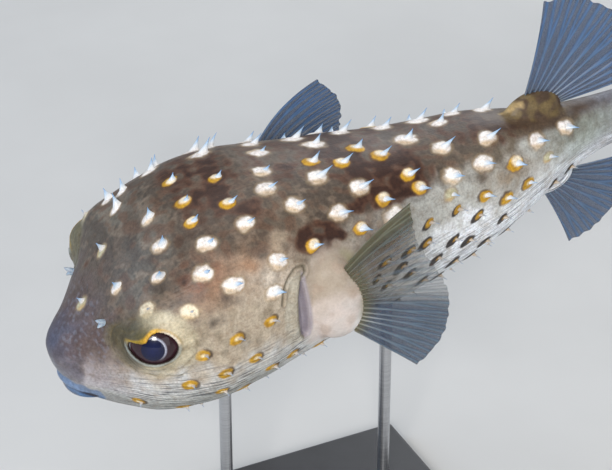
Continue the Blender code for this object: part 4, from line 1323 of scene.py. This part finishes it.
class Nodes:
    """A small helper that adds and links shader nodes."""

    def __init__(self, name):
        self.material = bpy.data.materials.new(name)
        self.material.use_nodes = True
        self.tree = self.material.node_tree
        self.shader = self.tree.nodes["Principled BSDF"]

    def put(self, socket, value):
        """Links the socket to another one, or gives it a plain value."""
        if isinstance(value, bpy.types.NodeSocket):
            self.tree.links.new(value, socket)
        else:
            socket.default_value = value

    def add(self, kind, inputs=None, **settings):
        """A new node with its settings and inputs."""
        node = self.tree.nodes.new(kind)
        for key, value in settings.items():
            setattr(node, key, value)
        for key, value in (inputs or {}).items():
            self.put(node.inputs[key], value)
        return node

    def stored(self, name, output="Fac"):
        """What the mesh stores for each point under a name."""
        return self.add("ShaderNodeAttribute", attribute_name=name).outputs[output]

    def place(self):
        return self.add("ShaderNodeTexCoord").outputs["Object"]

    def math(self, operation, a, b=0.0, clamp=False):
        return self.add("ShaderNodeMath", {0: a, 1: b}, operation=operation, use_clamp=clamp).outputs[0]

    def times(self, a, b, clamp=False):
        return self.math("MULTIPLY", a, b, clamp)

    def scaled(self, vector, scale):
        return self.add("ShaderNodeVectorMath", {0: vector, 1: scale}, operation="MULTIPLY").outputs[0]

    def between(self, value, low, high, start=0.0, stop=1.0):
        """Brings a value from start and stop to low and high."""
        inputs = {"Value": value, "From Min": start, "From Max": stop, "To Min": low, "To Max": high}
        return self.add("ShaderNodeMapRange", inputs).outputs[0]

    def mix(self, factor, a, b, blend_type="MIX"):
        inputs = {0: factor, 6: a, 7: b}
        return self.add("ShaderNodeMix", inputs, data_type="RGBA", blend_type=blend_type).outputs[2]

    def ramp(self, factor, *stops):
        """Colours along a value, each with its place from 0 to 1; a plain number is a grey."""
        node = self.add("ShaderNodeValToRGB", {"Fac": factor})
        elements = node.color_ramp.elements
        while len(elements) < len(stops):
            elements.new(0.5)
        for element, (place, colour) in zip(elements, stops):
            element.position = place
            element.color = (*colour, 1) if isinstance(colour, tuple) else (colour,) * 3 + (1,)
        return node.outputs["Color"]

    def noise(self, vector, scale, detail=3.0, roughness=0.55):
        inputs = {"Vector": vector, "Scale": scale, "Detail": detail, "Roughness": roughness}
        return self.add("ShaderNodeTexNoise", inputs).outputs["Fac"]

    def bump(self, height, strength, distance, **below):
        """Relief of a height over the Normal given, if any."""
        inputs = {"Height": height, "Strength": strength, "Distance": distance, **below}
        return self.add("ShaderNodeBump", inputs).outputs["Normal"]

    def finish(self, inputs):
        """Gives the surface its looks."""
        for name, value in inputs.items():
            self.put(self.shader.inputs[name], value)
        return self.material


def skin_material():
    """Satin fish skin: painted markings, fine mottling, lengthwise wrinkles with painted shade in their
    grooves and painted light on their ridges, and a pebbled grain.
    """
    n = Nodes("burrfish_skin")
    paint, flow = n.stored("paint", "Color"), n.stored("flow", "Vector")
    wrinkle = n.stored("wrinkle")
    where = n.place()
    speckle = n.noise(where, 950, 4, 0.65)
    blotch = n.noise(where, 240, 5, 0.62)
    tone = n.ramp(speckle, (0.28, 0.60), (0.50, 1.0), (0.74, 1.35))
    broad = n.ramp(blotch, (0.30, (0.70, 0.64, 0.58)), (0.52, 1.0), (0.74, (1.22, 1.24, 1.24)))
    rough_share = n.math("SUBTRACT", 1.0, n.times(n.stored("calm"), 0.65))
    colour = n.mix(n.times(rough_share, 0.75), paint, tone, "MULTIPLY")
    colour = n.mix(n.times(rough_share, 0.85), colour, broad, "MULTIPLY")
    lines = n.noise(n.scaled(flow, (70, 980, 1)), 1.0, 3.0, 0.6)
    # Painted shade in the wrinkles' grooves and painted light on their ridges, laid over the colour where the
    # wrinkles are.
    dark = n.ramp(lines, (0.35, (0.24, 0.25, 0.28)), (0.48, 0.86), (0.60, 1.18))
    bumped = n.bump(n.times(lines, wrinkle), 0.8, 1.2 * MM)
    bumped = n.bump(blotch, 0.35, 0.6 * MM, Normal=bumped)
    return n.finish({
        "Base Color": n.mix(wrinkle, colour, n.mix(1.0, colour, dark, "MULTIPLY")),
        "Normal": n.bump(n.noise(where, 1500, 2, 0.5), 0.22, 0.25 * MM, Normal=bumped),
        "Roughness": 0.44,
        "Specular IOR Level": 0.42,
        "Subsurface Weight": 0.08,
        "Subsurface Radius": (1.0, 0.6, 0.4),
        "Subsurface Scale": 1.4 * MM,
    })


def spine_material():
    """Enamel white at the foot, amber on the small ones, and clear blue at the tip."""
    n = Nodes("burrfish_spine")
    tip = n.stored("tip")
    colour = n.ramp(
        tip, (0.20, (0.86, 0.82, 0.78)), (0.50, (0.76, 0.80, 0.84)), (0.74, (0.42, 0.58, 0.76)),
        (0.97, (0.15, 0.32, 0.60)),
    )
    amber = n.times(n.stored("amber"), n.math("SUBTRACT", 1.25, tip), True)
    colour = n.mix(n.times(amber, 0.85), colour, (0.40, 0.25, 0.09, 1))
    streak = n.ramp(n.noise(n.place(), 1400, 2), (0.3, 0.82), (0.7, 1.06))
    return n.finish({
        "Base Color": n.mix(0.6, colour, streak, "MULTIPLY"),
        "Roughness": 0.3,
        "Subsurface Weight": 0.2,
        "Subsurface Radius": (0.8, 0.9, 1.0),
        "Subsurface Scale": 0.8 * MM,
    })


def tentacle_material():
    """Pale blue-grey skin."""
    n = Nodes("nasal_tentacle")
    cloud = n.noise(n.place(), 900, 3)
    return n.finish({
        "Base Color": n.ramp(cloud, (0.3, (0.22, 0.29, 0.38)), (0.7, (0.44, 0.53, 0.62))),
        "Normal": n.bump(cloud, 0.3, 0.3 * MM),
        "Roughness": 0.42,
        "Subsurface Weight": 0.1,
        "Subsurface Scale": 0.8 * MM,
    })


def eye_material():
    """Blue-black pupil, a silver edge painted brighter on its upper rear side as a painted highlight,
    purple-brown iris and a pale outer ring.
    """
    n = Nodes("burrfish_eye")
    gaze = n.stored("gaze", "Vector")
    parts = n.add("ShaderNodeSeparateXYZ", {0: gaze})
    u = n.math("SUBTRACT", parts.outputs[0], 0.02)
    v = n.math("ADD", parts.outputs[1], 0.02)
    flat = n.add("ShaderNodeCombineXYZ", {0: u, 1: v}).outputs[0]
    far = n.add("ShaderNodeVectorMath", {0: flat}, operation="LENGTH").outputs["Value"]
    ring = n.ramp(
        far, (0.0, (0.005, 0.010, 0.060)), (0.36, (0.003, 0.005, 0.030)), (0.39, (0.030, 0.012, 0.020)),
        (0.62, (0.026, 0.010, 0.013)), (0.74, (0.055, 0.022, 0.030)), (0.775, (0.30, 0.33, 0.36)),
        (0.83, (0.34, 0.36, 0.38)), (0.87, (0.03, 0.02, 0.03)),
    )
    silver = n.ramp(far, (0.365, 0.0), (0.39, 1.0), (0.425, 0.55), (0.455, 0.0))
    # Painted highlight: the silver edge shows only towards the upper rear of the pupil.
    lit = n.between(n.math("ADD", n.times(u, 0.8), n.times(v, 0.7)), 0, 1, -0.12, 0.30)
    colour = n.mix(n.times(silver, lit, True), ring, (0.42, 0.44, 0.54, 1))
    grain = n.ramp(n.noise(gaze, 26, 4, 0.7), (0.35, 0.6), (0.65, 1.4))
    return n.finish({
        "Base Color": n.mix(0.6, colour, grain, "MULTIPLY"),
        "Roughness": 0.30,
        "Specular IOR Level": 0.1,
        "Coat Weight": 0.6,
        "Coat Roughness": 0.04,
    })


def fin_material():
    """A clear slate-blue membrane with fine paler rays, olive and clearer over the near pectoral's top."""
    n = Nodes("burrfish_fin")
    ray, reach, tint, olive, clear = (n.stored(k) for k in ("ray", "reach", "tint", "olive", "clear"))
    membrane = n.mix(tint, (0.020, 0.054, 0.140, 1), (0.028, 0.048, 0.092, 1))
    membrane = n.mix(clear, membrane, (0.085, 0.072, 0.048, 1))
    membrane = n.mix(olive, membrane, (0.100, 0.092, 0.050, 1))
    bone = n.mix(tint, (0.055, 0.17, 0.40, 1), (0.115, 0.175, 0.235, 1))
    bone = n.mix(n.times(n.math("SUBTRACT", 0.7, reach, True), 0.8), bone, (0.30, 0.33, 0.32, 1))
    bone = n.mix(n.times(olive, 0.8), bone, (0.19, 0.18, 0.105, 1))
    colour = n.mix(n.times(ray, 0.75), membrane, bone)
    shade = n.ramp(n.noise(n.place(), 150, 4, 0.6), (0.3, 0.82), (0.7, 1.16))
    base = n.math("SUBTRACT", 0.70, n.times(reach, 0.12))
    base = n.math("SUBTRACT", base, n.times(clear, 0.44))
    base = n.math("ADD", base, n.times(olive, 0.20))
    return n.finish({
        "Base Color": n.mix(0.8, colour, shade, "MULTIPLY"),
        "Alpha": n.math("ADD", n.times(ray, 0.26), base, True),
        "Roughness": 0.36,
        "Subsurface Weight": 0.1,
        "Subsurface Scale": 0.6 * MM,
    })


def stand_material():
    """Satin black lacquer over metal, a little uneven."""
    n = Nodes("stand_lacquer")
    where = n.place()
    cloud = n.noise(where, 55, 5, 0.6)
    return n.finish({
        "Base Color": n.ramp(cloud, (0.3, (0.020, 0.020, 0.023)), (0.7, (0.036, 0.036, 0.040))),
        "Roughness": n.between(cloud, 0.34, 0.50),
        "Normal": n.bump(n.noise(where, 2400, 2), 0.12, 0.1 * MM),
    })


def rod_material():
    """Brushed steel, with fine rings round the rod."""
    n = Nodes("rod_steel")
    lines = n.noise(n.scaled(n.place(), (60, 60, 3200)), 1.0, 3, 0.6)
    return n.finish({
        "Base Color": n.ramp(lines, (0.3, (0.42, 0.43, 0.45)), (0.7, (0.62, 0.63, 0.65))),
        "Metallic": 1.0,
        "Roughness": n.between(lines, 0.26, 0.42),
    })


def paper_material():
    """Matt pale paper."""
    n = Nodes("floor_paper")
    cloud = n.noise(n.place(), 9, 3)
    return n.finish({
        "Base Color": n.ramp(cloud, (0.3, (0.60, 0.60, 0.59)), (0.7, (0.64, 0.64, 0.63))),
        "Roughness": 0.85,
    })


def dress_stand(nodes):
    """Lacquer on the base, and the same steel on both rods."""
    lacquer, steel = stand_material(), rod_material()
    for name, finish in (("stand_base", lacquer), ("stand_rod_front", steel), ("stand_rod_rear", steel)):
        node = nodes[name]
        if not node.material_slots:
            node.data.materials.append(finish)
        for used in node.material_slots:
            used.material = finish


def make_floor():
    """A plain sheet of pale paper."""
    corners = [(x * FLOOR_HALF, y * FLOOR_HALF, 0) for x, y in ((-1, -1), (1, -1), (1, 1), (-1, 1))]
    floor = new_object("floor", corners, [(0, 1, 2, 3)])
    floor.data.materials.append(paper_material())


def make_lights():
    """Soft studio light, with a cool lamp on the far side for the blue edges."""
    world = bpy.data.worlds.new("studio")
    bpy.context.scene.world = world
    world.use_nodes = True
    sky = world.node_tree.nodes["Background"]
    sky.inputs[0].default_value = SKY_COLOUR
    sky.inputs[1].default_value = SKY_POWER
    for name, place, power, size, colour in LIGHTS:
        light = bpy.data.lights.new(name, "AREA")
        light.energy = power
        light.size = size
        light.color = colour
        made = link_object(name, light)
        made.location = place
        made.rotation_mode = "QUATERNION"
        made.rotation_quaternion = (Vector(LIGHT_AIM) - Vector(place)).to_track_quat("-Z", "Y")


def make_camera():
    """The photo's view, which is held with the fish."""
    towards = Vector(CAMERA_TOWARDS).normalized()
    up = Vector(CAMERA_UP)
    up = (up - towards * up.dot(towards)).normalized()
    right = up.cross(towards)
    width, height = PICTURE
    data = bpy.data.cameras.new("camera")
    data.sensor_width = SENSOR_WIDTH
    data.lens = CAMERA_FOCUS * SENSOR_WIDTH / width
    data.clip_start = 0.01
    data.clip_end = 50
    aside = (width / 2 - PICTURE_CENTRE[0]) / CAMERA_FOCUS * CAMERA_DISTANCE
    above = (PICTURE_CENTRE[1] - height / 2) / CAMERA_FOCUS * CAMERA_DISTANCE
    target = Vector(CAMERA_TARGET) + right * aside + up * above
    frame = Matrix((right, up, towards)).transposed().to_4x4()
    frame.translation = target + towards * CAMERA_DISTANCE
    camera = link_object("camera", data)
    camera.matrix_world = FISH_POSE @ frame
    bpy.context.scene.camera = camera


def main():
    """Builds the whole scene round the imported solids."""
    bpy.context.scene.view_settings.view_transform = "Standard"
    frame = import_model()
    make_skin(skin_material())
    make_spines(spine_material())
    make_nostrils(tentacle_material())
    eyes = eye_material()
    make_eye(1, "visible_eye_left", "eye_left", eyes)
    make_eye(-1, "visible_eye_right", "eye_right", eyes)
    make_fins(fin_material())
    dress_stand(frame["nodes"])
    make_floor()
    make_lights()
    make_camera()


main()
